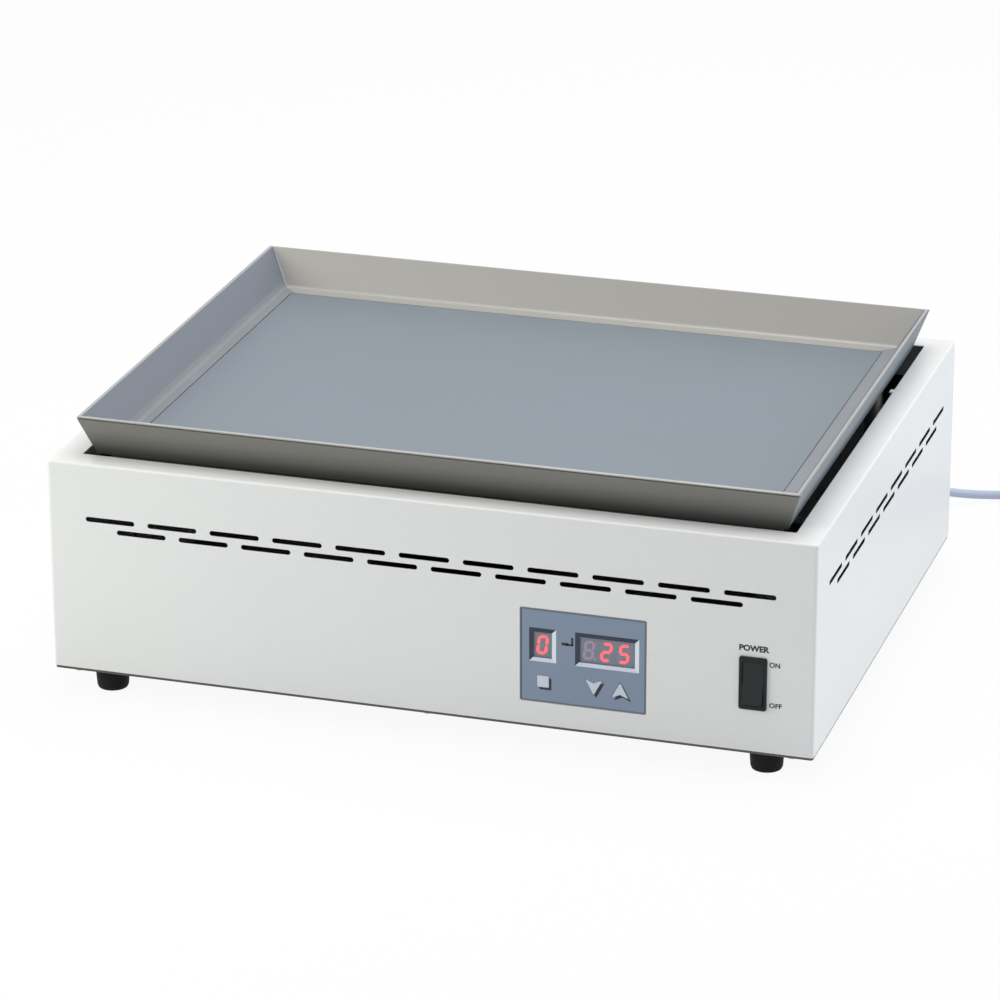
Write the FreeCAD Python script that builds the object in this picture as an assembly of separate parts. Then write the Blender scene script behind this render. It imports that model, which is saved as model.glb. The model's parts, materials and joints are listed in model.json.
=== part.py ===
"""Laboratory hot plate: a shallow heated tray in a vented sheet-steel casing.

Millimetres, +Z up, +X to the right seen from the front, +Y to the back.
The origin is on the bench under the middle of the casing.
"""

import FreeCAD, Part
import math
import os

Vector = FreeCAD.Vector
X_AXIS = Vector(1, 0, 0)
Y_AXIS = Vector(0, 1, 0)
Z_AXIS = Vector(0, 0, 1)

# Heating plate
plate_half_x = 226.0
plate_half_y = 163.5
plate_joint = 0.4
plate_shoulder = 11.0
plate_shoulder_thickness = 8.0

# Casing
casing_height = 151.5
casing_beyond_rim_x = 16.5
casing_beyond_rim_y = 15.5
casing_sheet = 1.0
casing_corner = 2.2
casing_top_bend = 1.8
return_width = 11.0
opening_border_x = 19.0
opening_border_y = 18.5
opening_corner = 1.0
tab_width = 6.0
tab_reach = 2.6
tab_from_back = 102.5

# Ventilation slots
slot_length = 35.5
slot_width = 3.6
slot_pitch = 45.0
slot_margin = 25.0
slot_below_top = 40.0
slot_row_step = 7.5

# Base plate and feet
base_sheet = 2.0
base_inset = 0.6
base_corner = 2.0
base_slot_margin = 70.0
base_slot_rows = (-75.0, -62.0, 62.0, 75.0)
foot_height = 17.0
foot_radius = 12.0
foot_tip_radius = 11.0
foot_round = 2.5
foot_inset_x = 36.0
foot_inset_y = 18.0
foot_recess_radius = 4.6
foot_recess_depth = 7.0

# Fasteners
m5_radius = 2.5
m4_radius = 2.0
m3_radius = 1.5
m25_radius = 1.25
thread_gap = 0.05
hole_gap = 0.25
m4_head_radius = 3.9
m4_head_height = 2.6
m5_head_radius = 4.7
m5_head_height = 3.2
m3_head_radius = 2.8
m3_head_height = 2.0
m25_head_radius = 2.3
m25_head_height = 1.7
m4_nut_flats = 7.0
m4_nut_height = 3.2
m3_nut_flats = 5.5
m3_nut_height = 2.4
base_screw_from_front = 7.0
base_screw_from_side = 16.0

# Tray frame
tray_reach = 30.6
tray_end_trim = 3.5
tray_rim_above_top = 28.0
tray_wall = 2.0
tray_bend = 4.0
tray_rim_width = 2.5
ledge_width = 12.0
skirt_flare_deg = 20.0
skirt_drop = 4.0
seam_below_rim = 0.4
seam_width = 0.8
seam_depth = 0.8
plate_above_top = 2.5
weld_bead = 1.1

# Plate posts
post_inset_x = 4.0
post_inset_y = 5.5
post_radius = 7.0
post_neck_radius = 5.0
post_neck = 12.0
post_stud_length = 6.0
post_thread_depth = 14.0
insulator_height = 4.0
insulator_radius = 8.0

# Heating element
element_radius = 4.0
element_runs = 8
element_edge_x = 48.0
element_edge_y = 37.5
element_leg = 42.0
element_gap = 0.3
element_turn_down = 14.0
seal_radius = 5.2
seal_length = 12.0
pin_radius = 1.5
pin_length = 9.0
clamp_width = 14.0
clamp_thickness = 3.0
clamp_overhang = 9.0
clamp_positions = (-118.0, 2.0, 122.0)
clamp_rows = (-3, -1, 1, 3)

# Temperature probe and cut-out
probe_radius = 2.0
probe_depth = 62.0
probe_collar_radius = 4.5
probe_collar_length = 6.0
probe_x = 64.0
cutout_x = 64.0
cutout_row = -2
cutout_radius = 8.0
cutout_body = 7.0
cutout_flange = 1.0
cutout_screw_spacing = 24.0
cutout_blade = 3.0

# Insulation
blanket_inset_x = 24.0
blanket_inset_y = 21.5
blanket_thickness = 25.0
blanket_gap = 0.5
pan_sheet = 1.0
pan_ear = 15.0
leg_hole_gap = 1.2

# Control panel
panel_from_right = 159.0
panel_z = 50.6
panel_width = 88.0
panel_height = 68.0
panel_corner = 1.5
panel_gap = 0.3
fascia_flange_x = 54.5
fascia_flange_z = 37.0
fascia_flange = 1.5
window_layer = 0.8
window_height = 18.4
window_z = 7.75
small_window_width = 13.0
small_window_x = -28.0
large_window_width = 38.5
large_window_x = 16.75
pocket_gap = 0.2
module_height = 19.0
module_depth = 8.0
small_module_width = 12.6
large_module_width = 37.7
module_gap = 0.1
boss_x = 49.5
boss_z = 31.5
boss_radius = 2.8
fascia_stud_length = 5.5
board_thickness = 1.6
board_half_x = 53.0
board_half_z = 35.0

# Keys
key_proud = 0.4
key_gap = 0.3
key_travel = 0.5
key_z = -18.5
mode_key_x = -27.7
down_key_x = 7.6
up_key_x = 26.0
mode_key_size = 8.3
arrow_half_width = 6.0
arrow_half_height = 5.7
arrow_notch = 2.7
key_collar = 13.0
key_collar_thickness = 0.8
key_stem_radius = 2.0
key_stem = 0.3
key_button_gap = 0.2
switch_body = 6.0
switch_body_height = 3.4
switch_button_radius = 1.7

# Power switch
switch_from_right = 42.0
switch_z = 49.0
bezel_width = 19.0
bezel_height = 37.7
bezel_proud = 1.8
bezel_corner = 1.6
housing_width = 16.6
housing_height = 33.0
housing_depth = 22.0
housing_fit = 0.2
cavity_width = 14.6
cavity_half_height = 15.6
cavity_depth = 10.0
rocker_side_gap = 0.3
rocker_radius = 15.3
rocker_pivot_depth = 1.5
rocker_centre_depth = -0.9
rocker_back_depth = 7.0
rocker_half_angle = 7.0
rocker_pin_radius = 1.5
rocker_pin_length = 0.5
terminal_width = 6.3
terminal_thickness = 0.8
terminal_length = 9.0

# Control board
board_from_left = 210.0
board_from_back = 140.0
board_length = 130.0
board_width = 90.0
board_standoff = 12.0
board_standoff_flats = 6.0
board_hole_inset = 5.0
transformer_size = (46.0, 38.0, 34.0)
control_relay_size = (29.0, 13.0, 25.0)
capacitor_radius = 6.3
capacitor_height = 22.0

# Solid-state relay and heat sink
sink_from_right = 150.0
sink_from_back = 150.0
sink_length = 80.0
sink_width = 60.0
sink_height = 30.0
sink_web = 5.0
sink_fin = 1.6
sink_fins = 9
relay_length = 58.0
relay_width = 45.0
relay_height = 23.0
relay_screw_spacing = 47.6

# Terminal block and earth screw
block_from_right = 65.0
block_from_back = 90.0
block_length = 56.0
block_width = 24.0
block_height = 18.0
block_ways = 5
block_screw_pitch = 9.5
earth_from_right = 110.0
earth_from_back = 60.0

# Mains cord and plug
cord_diameter = 6.6
inlet_from_right = 43.0
inlet_height = 38.0
grommet_hole_radius = 6.0
grommet_flange_radius = 9.5
grommet_flange = 2.5
grommet_inner_radius = 8.0
grommet_inner = 2.0
boot_length = 38.0
boot_start_radius = 6.6
boot_end_radius = 4.5
boot_rings = 6
boot_ring_width = 1.6
boot_ring_depth = 1.2
cord_floor_gap = 0.3
coil_middle_radius = 38.6
coil_columns = 3
coil_layers = 2
coil_stub = 28.0
plug_width = 26.0
plug_body_length = 32.0
plug_sleeve_length = 22.0
blade_width = 6.3
blade_thickness = 1.5
blade_length = 16.0
blade_spacing = 12.7
earth_pin_radius = 2.4
earth_pin_length = 19.0
earth_pin_offset = 4.6
live_pin_offset = 5.6

# Extra length of cutting tools past a surface
cut_spare = 5.0

# Heights, depths and places worked out from the sizes above
base_top = foot_height + base_sheet
casing_top = base_top + casing_height
tray_rim_x = plate_half_x + plate_joint - tray_end_trim + tray_reach
tray_rim_y = plate_half_y + plate_joint + tray_reach
casing_half_x = tray_rim_x + casing_beyond_rim_x
casing_half_y = tray_rim_y + casing_beyond_rim_y
front_y = -casing_half_y
back_y = casing_half_y
opening_half_x = casing_half_x - opening_border_x
opening_half_y = casing_half_y - opening_border_y
slot_top_z = casing_top - slot_below_top
slot_low_z = slot_top_z - slot_row_step
plate_top = casing_top + plate_above_top
tray_rim_z = casing_top + tray_rim_above_top
shoulder_top = plate_top - tray_wall
plate_bottom = shoulder_top - plate_shoulder_thickness
element_z = plate_bottom - element_gap - element_radius
clamp_top = element_z - element_radius - element_gap
clamp_bottom = clamp_top - clamp_thickness
blanket_top = clamp_bottom - m4_head_height - 0.9
blanket_bottom = blanket_top - blanket_thickness
pan_rim_z = blanket_top - pan_sheet
post_top = plate_bottom - insulator_height
post_shoulder_z = pan_rim_z
fascia_depth = casing_sheet + fascia_flange
module_front_depth = window_layer + module_gap
board_front_depth = module_front_depth + module_depth
panel_x = casing_half_x - panel_from_right
panel_centre_z = base_top + panel_z
switch_x = casing_half_x - switch_from_right
switch_centre_z = base_top + switch_z
post_x = plate_half_x - post_inset_x
post_y = plate_half_y - post_inset_y
element_half_x = plate_half_x - element_edge_x
element_pitch = 2 * (plate_half_y - element_edge_y) / (element_runs - 1)
clamp_length = (element_runs - 1) * element_pitch + 2 * clamp_overhang
clamp_screw_rows = [row * element_pitch for row in clamp_rows]
cutout_y = cutout_row * element_pitch
blanket_length = 2 * (plate_half_x - blanket_inset_x)
blanket_width = 2 * (plate_half_y - blanket_inset_y)
board_x = board_from_left - casing_half_x
board_y = casing_half_y - board_from_back
sink_x = casing_half_x - sink_from_right
sink_y = casing_half_y - sink_from_back
block_x = casing_half_x - block_from_right
block_y = casing_half_y - block_from_back
earth_x = casing_half_x - earth_from_right
earth_y = casing_half_y - earth_from_back
inlet_x = casing_half_x - inlet_from_right

parts = {}


def keep(name, shape):
    """Stores a finished sub-part under its node name."""
    parts[name] = shape


def block(x0, x1, y0, y1, z0, z1):
    """A box between two corners."""
    return Part.makeBox(x1 - x0, y1 - y0, z1 - z0, Vector(x0, y0, z0))


def rod(radius, start, direction, length):
    """A round bar from a start point."""
    return Part.makeCylinder(radius, length, Vector(*start), Vector(direction))


def flat_point(a, b):
    """Places an outline in the horizontal plane."""
    return Vector(a, b, 0)


def front_point(a, b):
    """Places an outline in the upright plane seen from the front."""
    return Vector(a, 0, b)


def side_point(a, b):
    """Places an outline in the upright plane seen from the side."""
    return Vector(0, a, b)


def outline(points, radii, place):
    """A closed face through the points, each corner rounded by its radius (0 leaves it sharp)."""
    if not isinstance(radii, (list, tuple)):
        radii = [radii] * len(points)
    count = len(points)
    stretches = []
    for i in range(count):
        here = Vector(points[i][0], points[i][1], 0)
        before = Vector(points[i - 1][0], points[i - 1][1], 0)
        after = Vector(points[(i + 1) % count][0], points[(i + 1) % count][1], 0)
        if radii[i] <= 0:
            stretches.append((here, None, here))
            continue
        back = (before - here).normalize()
        ahead = (after - here).normalize()
        half = back.getAngle(ahead) / 2
        reach = radii[i] / math.tan(half)
        centre = here + (back + ahead).normalize() * (radii[i] / math.sin(half))
        middle = centre + (here - centre).normalize() * radii[i]
        stretches.append((here + back * reach, middle, here + ahead * reach))
    edges = []
    for i in range(count):
        start, middle, end = stretches[i]
        if middle is not None:
            arc = [place(p.x, p.y) for p in (start, middle, end)]
            edges.append(Part.Arc(*arc).toShape())
        following = stretches[(i + 1) % count][0]
        if end.distanceToPoint(following) > 1e-6:
            line = [place(p.x, p.y) for p in (end, following)]
            edges.append(Part.LineSegment(*line).toShape())
    return Part.Face(Part.Wire(edges))


def rectangle(half_a, half_b, radius, place):
    """A rounded rectangle centred on the plane's origin."""
    corners = [(-half_a, -half_b), (half_a, -half_b), (half_a, half_b), (-half_a, half_b)]
    return outline(corners, radius, place)


def slab(half_x, half_y, radius, z0, z1):
    """A rounded rectangular plate between two heights, centred on the origin."""
    face = rectangle(half_x, half_y, radius, flat_point)
    face.translate(Vector(0, 0, z0))
    return face.extrude(Vector(0, 0, z1 - z0))


def front_slab(x, z, half_x, half_z, radius, depth0, depth1):
    """A rounded plate parallel to the front, between two depths behind the casing's front face."""
    face = rectangle(half_x, half_z, radius, front_point)
    face.translate(Vector(x, front_y + depth0, z))
    return face.extrude(Vector(0, depth1 - depth0, 0))


def turned(profile, origin, axis):
    """A solid of revolution from (radius, height) points, standing on the origin along the axis."""
    points = [Vector(r, 0, h) for r, h in profile]
    face = Part.Face(Part.makePolygon(points + [points[0]]))
    solid = face.revolve(Vector(0, 0, 0), Z_AXIS, 360)
    solid.Placement = FreeCAD.Placement(Vector(*origin), FreeCAD.Rotation(Z_AXIS, Vector(axis)))
    return solid


def pan_screw(seat, direction, head_radius, head_height, shank_radius, shank_length):
    """A pan-head screw whose shank runs from its seat along the direction."""
    shoulder = head_height * 0.45
    profile = [
        (0, -head_height),
        (head_radius * 0.62, -head_height * 0.93),
        (head_radius * 0.9, -head_height * 0.72),
        (head_radius, -shoulder),
        (head_radius, 0),
        (shank_radius, 0),
        (shank_radius, shank_length - shank_radius * 0.4),
        (shank_radius * 0.6, shank_length),
        (0, shank_length),
    ]
    return turned(profile, seat, direction)


def hexagon_bar(flats, origin, direction, length, bore):
    """A hexagonal nut or standoff with a round bore."""
    corner = flats / math.sqrt(3)
    points = []
    for i in range(7):
        angle = math.radians(60 * i)
        points.append(Vector(corner * math.cos(angle), corner * math.sin(angle), 0))
    solid = Part.Face(Part.makePolygon(points)).extrude(Vector(0, 0, length))
    if bore > 0:
        solid = solid.cut(rod(bore, (0, 0, 0), Z_AXIS, length))
    solid.Placement = FreeCAD.Placement(Vector(*origin), FreeCAD.Rotation(Z_AXIS, Vector(direction)))
    return solid


def fused(shapes):
    """One clean solid from overlapping or touching shapes."""
    return shapes[0].multiFuse(shapes[1:]).removeSplitter()


def cut_all(shape, tools):
    """A shape with every tool taken away in one step."""
    return shape.cut(Part.makeCompound(tools))


def corners_of(half_x, half_y):
    """The four corners of a rectangle, with a name for each."""
    return {
        "front_left": (-half_x, -half_y),
        "front_right": (half_x, -half_y),
        "back_left": (-half_x, half_y),
        "back_right": (half_x, half_y),
    }


def slot_face(place):
    """One ventilation slot's outline, with round ends."""
    half = slot_length / 2
    return rectangle(half, slot_width / 2, slot_width / 2 * 0.999, place)


def slots_along(half_length, margin):
    """How many slots fit between the margins of a wall."""
    return int((2 * (half_length - margin) + slot_pitch - slot_length) / slot_pitch)


def slot_row(count, place, along, shift, through):
    """A row of slots centred on the middle, swept through a wall."""
    cutters = []
    for i in range(count):
        face = slot_face(place)
        face.translate(along * ((i - (count - 1) / 2) * slot_pitch) + shift)
        cutters.append(face.extrude(through))
    return cutters


def foot_positions():
    """Foot centres under the casing."""
    return corners_of(casing_half_x - foot_inset_x, casing_half_y - foot_inset_y)


def post_positions():
    """Plate post centres."""
    return corners_of(post_x, post_y)


def base_screw_positions():
    """Screws that hold the base plate to the casing's return flanges."""
    x = casing_half_x - base_screw_from_side
    y = casing_half_y - base_screw_from_front
    side_x = casing_half_x - base_screw_from_front
    return [(-x, -y), (0, -y), (x, -y), (-x, y), (0, y), (x, y), (-side_x, 0), (side_x, 0)]


def board_hole_positions():
    """Standoffs of the control board."""
    half_x = board_length / 2 - board_hole_inset
    half_y = board_width / 2 - board_hole_inset
    return [(board_x + x, board_y + y) for x, y in corners_of(half_x, half_y).values()]


def boss_positions():
    """Bosses behind the fascia that carry the display board."""
    return corners_of(boss_x, boss_z).values()


def fascia_stud_positions():
    """Weld studs on the casing that hold the fascia."""
    return [(-boss_x, 0.0), (boss_x, 0.0)]


def casing():
    """Folded steel cover: four walls, top with the tray opening, return flanges at the foot."""
    outer = slab(casing_half_x, casing_half_y, casing_corner, base_top, casing_top)
    top_edges = [e for e in outer.Edges if abs(e.BoundBox.ZMin - casing_top) < 0.01]
    outer = outer.makeFillet(casing_top_bend, top_edges)
    inner_x = casing_half_x - casing_sheet
    inner_y = casing_half_y - casing_sheet
    inner_corner = casing_corner - casing_sheet
    inner = slab(inner_x, inner_y, inner_corner, base_top + casing_sheet, casing_top - casing_sheet)
    ceiling = casing_top - casing_sheet
    inner_edges = [e for e in inner.Edges if abs(e.BoundBox.ZMin - ceiling) < 0.01]
    inner = inner.makeFillet(casing_top_bend - casing_sheet, inner_edges)
    mouth = slab(
        inner_x - return_width,
        inner_y - return_width,
        opening_corner,
        base_top - cut_spare,
        base_top + casing_sheet + cut_spare,
    )
    opening = slab(
        opening_half_x, opening_half_y, opening_corner, ceiling - cut_spare, casing_top + cut_spare
    )
    shell = cut_all(outer, [inner, mouth, opening])

    deep = casing_sheet + 2 * cut_spare
    front_slots = slots_along(casing_half_x, slot_margin)
    side_slots = slots_along(casing_half_y, slot_margin)
    cutters = []
    for start, through in ((front_y - cut_spare, deep), (back_y + cut_spare, -deep)):
        sweep = Vector(0, through, 0)
        cutters += slot_row(front_slots, front_point, X_AXIS, Vector(0, start, slot_top_z), sweep)
        cutters += slot_row(front_slots - 1, front_point, X_AXIS, Vector(0, start, slot_low_z), sweep)
    for start, through in ((casing_half_x + cut_spare, -deep), (-casing_half_x - cut_spare, deep)):
        sweep = Vector(through, 0, 0)
        cutters += slot_row(side_slots, side_point, Y_AXIS, Vector(start, 0, slot_top_z), sweep)
        cutters += slot_row(side_slots - 1, side_point, Y_AXIS, Vector(start, 0, slot_low_z), sweep)
    cutters.append(
        front_slab(
            panel_x,
            panel_centre_z,
            panel_width / 2,
            panel_height / 2,
            panel_corner,
            -cut_spare,
            casing_sheet + cut_spare,
        )
    )
    cutters.append(
        front_slab(
            switch_x,
            switch_centre_z,
            housing_width / 2 + housing_fit,
            housing_height / 2 + housing_fit,
            opening_corner,
            -cut_spare,
            casing_sheet + cut_spare,
        )
    )
    inlet = (inlet_x, back_y - casing_sheet - cut_spare, inlet_height)
    cutters.append(rod(grommet_hole_radius + 0.1, inlet, Y_AXIS, deep))
    for x, y in base_screw_positions():
        start = (x, y, base_top - cut_spare)
        cutters.append(rod(m4_radius + thread_gap, start, Z_AXIS, deep))
    shell = cut_all(shell, cutters)

    extras = []
    tab_y = opening_half_y - tab_from_back
    for side in (-1, 1):
        edge = side * (opening_half_x + 1)
        tip = side * (opening_half_x - tab_reach)
        extras.append(
            block(min(edge, tip), max(edge, tip), tab_y, tab_y + tab_width, ceiling, casing_top)
        )
    for x, z in fascia_stud_positions():
        start = (panel_x + x, front_y + casing_sheet - 0.5, panel_centre_z + z)
        extras.append(rod(m3_radius, start, Y_AXIS, fascia_stud_length + 0.5))
    keep("casing", fused([shell] + extras))


def base_plate():
    """Flat sheet that closes the casing from below."""
    plate = slab(
        casing_half_x - base_inset,
        casing_half_y - base_inset,
        base_corner,
        foot_height,
        base_top,
    )
    low = foot_height - cut_spare
    through = base_sheet + 2 * cut_spare
    base_slots = slots_along(casing_half_x, base_slot_margin)
    cutters = []
    for row in base_slot_rows:
        shift = Vector(0, row, low)
        cutters += slot_row(base_slots, flat_point, X_AXIS, shift, Vector(0, 0, through))
    holes = [(p, m4_radius + hole_gap) for p in foot_positions().values()]
    holes += [(p, m4_radius + hole_gap) for p in base_screw_positions()]
    holes += [(p, m5_radius + hole_gap) for p in post_positions().values()]
    holes += [(p, m3_radius + hole_gap) for p in board_hole_positions()]
    holes += [((earth_x, earth_y), m4_radius + thread_gap)]
    for (x, y), radius in holes:
        cutters.append(rod(radius, (x, y, low), Z_AXIS, through))
    keep("base_plate", cut_all(plate, cutters))


def base_screws():
    """Pan-head screws from below through the base plate."""
    screws = []
    for x, y in base_screw_positions():
        seat = (x, y, foot_height)
        length = base_sheet + casing_sheet + 2
        screws.append(pan_screw(seat, Z_AXIS, m4_head_radius, m4_head_height, m4_radius, length))
    keep("base_screws", Part.makeCompound(screws))


def feet():
    """Moulded rubber feet, each held by a screw and a nut."""
    screws = []
    nuts = []
    for name, (x, y) in foot_positions().items():
        profile = [
            (foot_recess_radius, 0),
            (foot_tip_radius - foot_round, 0),
            (foot_tip_radius - foot_round * 0.3, foot_round * 0.3),
            (foot_tip_radius, foot_round),
            (foot_radius, foot_height - 1.2),
            (foot_radius, foot_height),
            (m4_radius + hole_gap, foot_height),
            (m4_radius + hole_gap, foot_recess_depth),
            (foot_recess_radius, foot_recess_depth),
        ]
        keep("foot_" + name, turned(profile, (x, y, 0), Z_AXIS))
        length = foot_height - foot_recess_depth + base_sheet + m4_nut_height + 1
        screws.append(
            pan_screw((x, y, foot_recess_depth), Z_AXIS, m4_head_radius, m4_head_height, m4_radius, length)
        )
        nuts.append(
            hexagon_bar(m4_nut_flats, (x, y, base_top), Z_AXIS, m4_nut_height, m4_radius + thread_gap)
        )
    keep("foot_screws", Part.makeCompound(screws))
    keep("foot_nuts", Part.makeCompound(nuts))


def crossing(start, along, other, other_along):
    """Where two straight lines of a section meet."""
    gap = (other[0] - start[0], other[1] - start[1])
    turn = along[0] * other_along[1] - along[1] * other_along[0]
    share = (gap[0] * other_along[1] - gap[1] * other_along[0]) / turn
    return (start[0] + along[0] * share, start[1] + along[1] * share)


def shifted(point, along, length):
    """A point of a section moved along a direction."""
    return (point[0] + along[0] * length, point[1] + along[1] * length)


def tray_profile():
    """The tray wall's section: ledge, sloping inner wall up to the rim, and the outer skirt.

    The first number runs outwards from the plate joint, the second upwards from the plate's top.
    """
    flare = math.radians(skirt_flare_deg)
    up = tray_rim_z - plate_top
    down = (-math.sin(flare), -math.cos(flare))
    inwards = (-math.cos(flare), math.sin(flare))
    rim_outer = (tray_reach, up - tray_rim_width * math.sin(flare))
    rim_inner = shifted(rim_outer, inwards, tray_rim_width)
    foot_in = (ledge_width, 0.0)
    length = math.hypot(rim_inner[0] - foot_in[0], rim_inner[1])
    rising = ((rim_inner[0] - foot_in[0]) / length, rim_inner[1] / length)
    behind = shifted(foot_in, (rising[1], -rising[0]), tray_wall)
    level = (1.0, 0.0)
    under_foot = crossing(behind, rising, (0.0, -tray_wall), level)
    skirt_back = shifted(rim_outer, inwards, tray_wall)
    fold = crossing(behind, rising, skirt_back, down)
    skirt_outer = crossing(rim_outer, down, (0.0, -skirt_drop), level)
    skirt_inner = crossing(skirt_back, down, (0.0, -skirt_drop), level)
    seam_top = shifted(rim_outer, down, seam_below_rim)
    seam_end = shifted(seam_top, down, seam_width)
    points = [
        (0.0, 0.0),
        foot_in,
        rim_inner,
        rim_outer,
        seam_top,
        shifted(seam_top, inwards, seam_depth),
        shifted(seam_end, inwards, seam_depth),
        seam_end,
        skirt_outer,
        skirt_inner,
        fold,
        under_foot,
        (0.0, -tray_wall),
    ]
    radii = [0, tray_bend, 0.4, 0, 0, 0, 0, 0, 0.3, 0.3, 0, tray_bend + tray_wall, 0]
    return points, radii, foot_in, rim_inner


def tray_frame():
    """Four sloping walls with ledge and skirt, mitred at the corners and joined by weld beads."""
    points, radii, foot_in, rim_inner = tray_profile()
    inner_y = plate_half_y + plate_joint
    shift_x = tray_rim_x - tray_rim_y
    reach = tray_rim_x + cut_spare
    rise = tray_rim_z - plate_top
    walls = []
    for turn, along, offset in (
        (0, tray_rim_x, inner_y),
        (90, tray_rim_y, inner_y + shift_x),
        (180, tray_rim_x, inner_y),
        (270, tray_rim_y, inner_y + shift_x),
    ):
        section = outline(
            [(-(offset + a), plate_top + b) for a, b in points],
            radii,
            lambda a, b: Vector(-reach, a, b),
        )
        bar = section.extrude(Vector(2 * reach, 0, 0))
        far = offset + tray_reach + cut_spare
        half = along + cut_spare
        apex = Vector(0, half - far, 0)
        left = Vector(-half, -far, 0)
        right = Vector(half, -far, 0)
        wedge = Part.Face(Part.makePolygon([left, right, apex, left]))
        wedge.translate(Vector(0, 0, plate_top - rise))
        wall = bar.common(wedge.extrude(Vector(0, 0, 3 * rise)))
        wall.rotate(Vector(0, 0, 0), Z_AXIS, turn)
        walls.append(wall)
    for sx in (-1, 1):
        for sy in (-1, 1):
            low = Vector(
                sx * (inner_y + shift_x + foot_in[0]), sy * (inner_y + foot_in[0]), plate_top + foot_in[1]
            )
            high = Vector(
                sx * (inner_y + shift_x + rim_inner[0]), sy * (inner_y + rim_inner[0]), tray_rim_z
            )
            line = high - low
            start = low - line * 0.02
            walls.append(rod(weld_bead, start, line, line.Length * 0.97))
    frame = fused(walls)
    joint = slab(
        plate_half_x + plate_joint,
        plate_half_y + plate_joint,
        0,
        shoulder_top - cut_spare,
        plate_top + cut_spare,
    )
    keep("tray_frame", frame.cut(joint))


def heating_plate():
    """Thick plate with a raised floor that fills the frame and a shoulder that carries it."""
    floor = slab(plate_half_x, plate_half_y, 0, shoulder_top, plate_top)
    top_edges = [e for e in floor.Edges if abs(e.BoundBox.ZMin - plate_top) < 0.01]
    floor = floor.makeChamfer(0.4, top_edges)
    shoulder = slab(
        plate_half_x + plate_shoulder,
        plate_half_y + plate_shoulder,
        4.0,
        plate_bottom,
        shoulder_top,
    )
    plate = fused([floor, shoulder])
    cutters = []
    for x, y in post_positions().values():
        cutters.append(rod(m5_radius + thread_gap, (x, y, plate_bottom - 1), Z_AXIS, post_stud_length + 1.5))
    for x in clamp_positions:
        for y in clamp_screw_rows:
            cutters.append(rod(m4_radius + thread_gap, (x, y, plate_bottom - 1), Z_AXIS, 8))
    for x in (-0.5, 0.5):
        place = (cutout_x + x * cutout_screw_spacing, cutout_y, plate_bottom - 1)
        cutters.append(rod(m3_radius + thread_gap, place, Z_AXIS, 6))
    start = (probe_x, plate_half_y + plate_shoulder - probe_depth - 1, (plate_bottom + shoulder_top) / 2)
    cutters.append(rod(probe_radius + thread_gap, start, Y_AXIS, probe_depth + 3))
    keep("heating_plate", cut_all(plate, cutters))


def plate_posts():
    """Turned posts that carry the heating plate, with a stud on top and a shoulder for the pan."""
    rings = []
    screws = []
    for name, (x, y) in post_positions().items():
        profile = [
            (m5_radius + thread_gap, base_top),
            (post_radius, base_top),
            (post_radius, post_shoulder_z),
            (post_neck_radius, post_shoulder_z),
            (post_neck_radius, post_top),
            (m5_radius, post_top),
            (m5_radius, plate_bottom + post_stud_length),
            (0, plate_bottom + post_stud_length),
            (0, base_top + post_thread_depth),
            (m5_radius + thread_gap, base_top + post_thread_depth),
        ]
        keep("plate_post_" + name, turned(profile, (x, y, 0), Z_AXIS))
        ring = rod(insulator_radius, (x, y, post_top), Z_AXIS, insulator_height)
        rings.append(ring.cut(rod(m5_radius + thread_gap, (x, y, post_top), Z_AXIS, insulator_height)))
        length = base_sheet + post_thread_depth - 2
        screws.append(
            pan_screw((x, y, foot_height), Z_AXIS, m5_head_radius, m5_head_height, m5_radius, length)
        )
    keep("post_insulators", Part.makeCompound(rings))
    keep("post_screws", Part.makeCompound(screws))


def element_ends():
    """Where the two legs of the heating element come down."""
    half_y = (element_runs - 1) / 2 * element_pitch
    x = -element_half_x - element_turn_down
    return [(x, -half_y), (x, half_y)]


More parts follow.
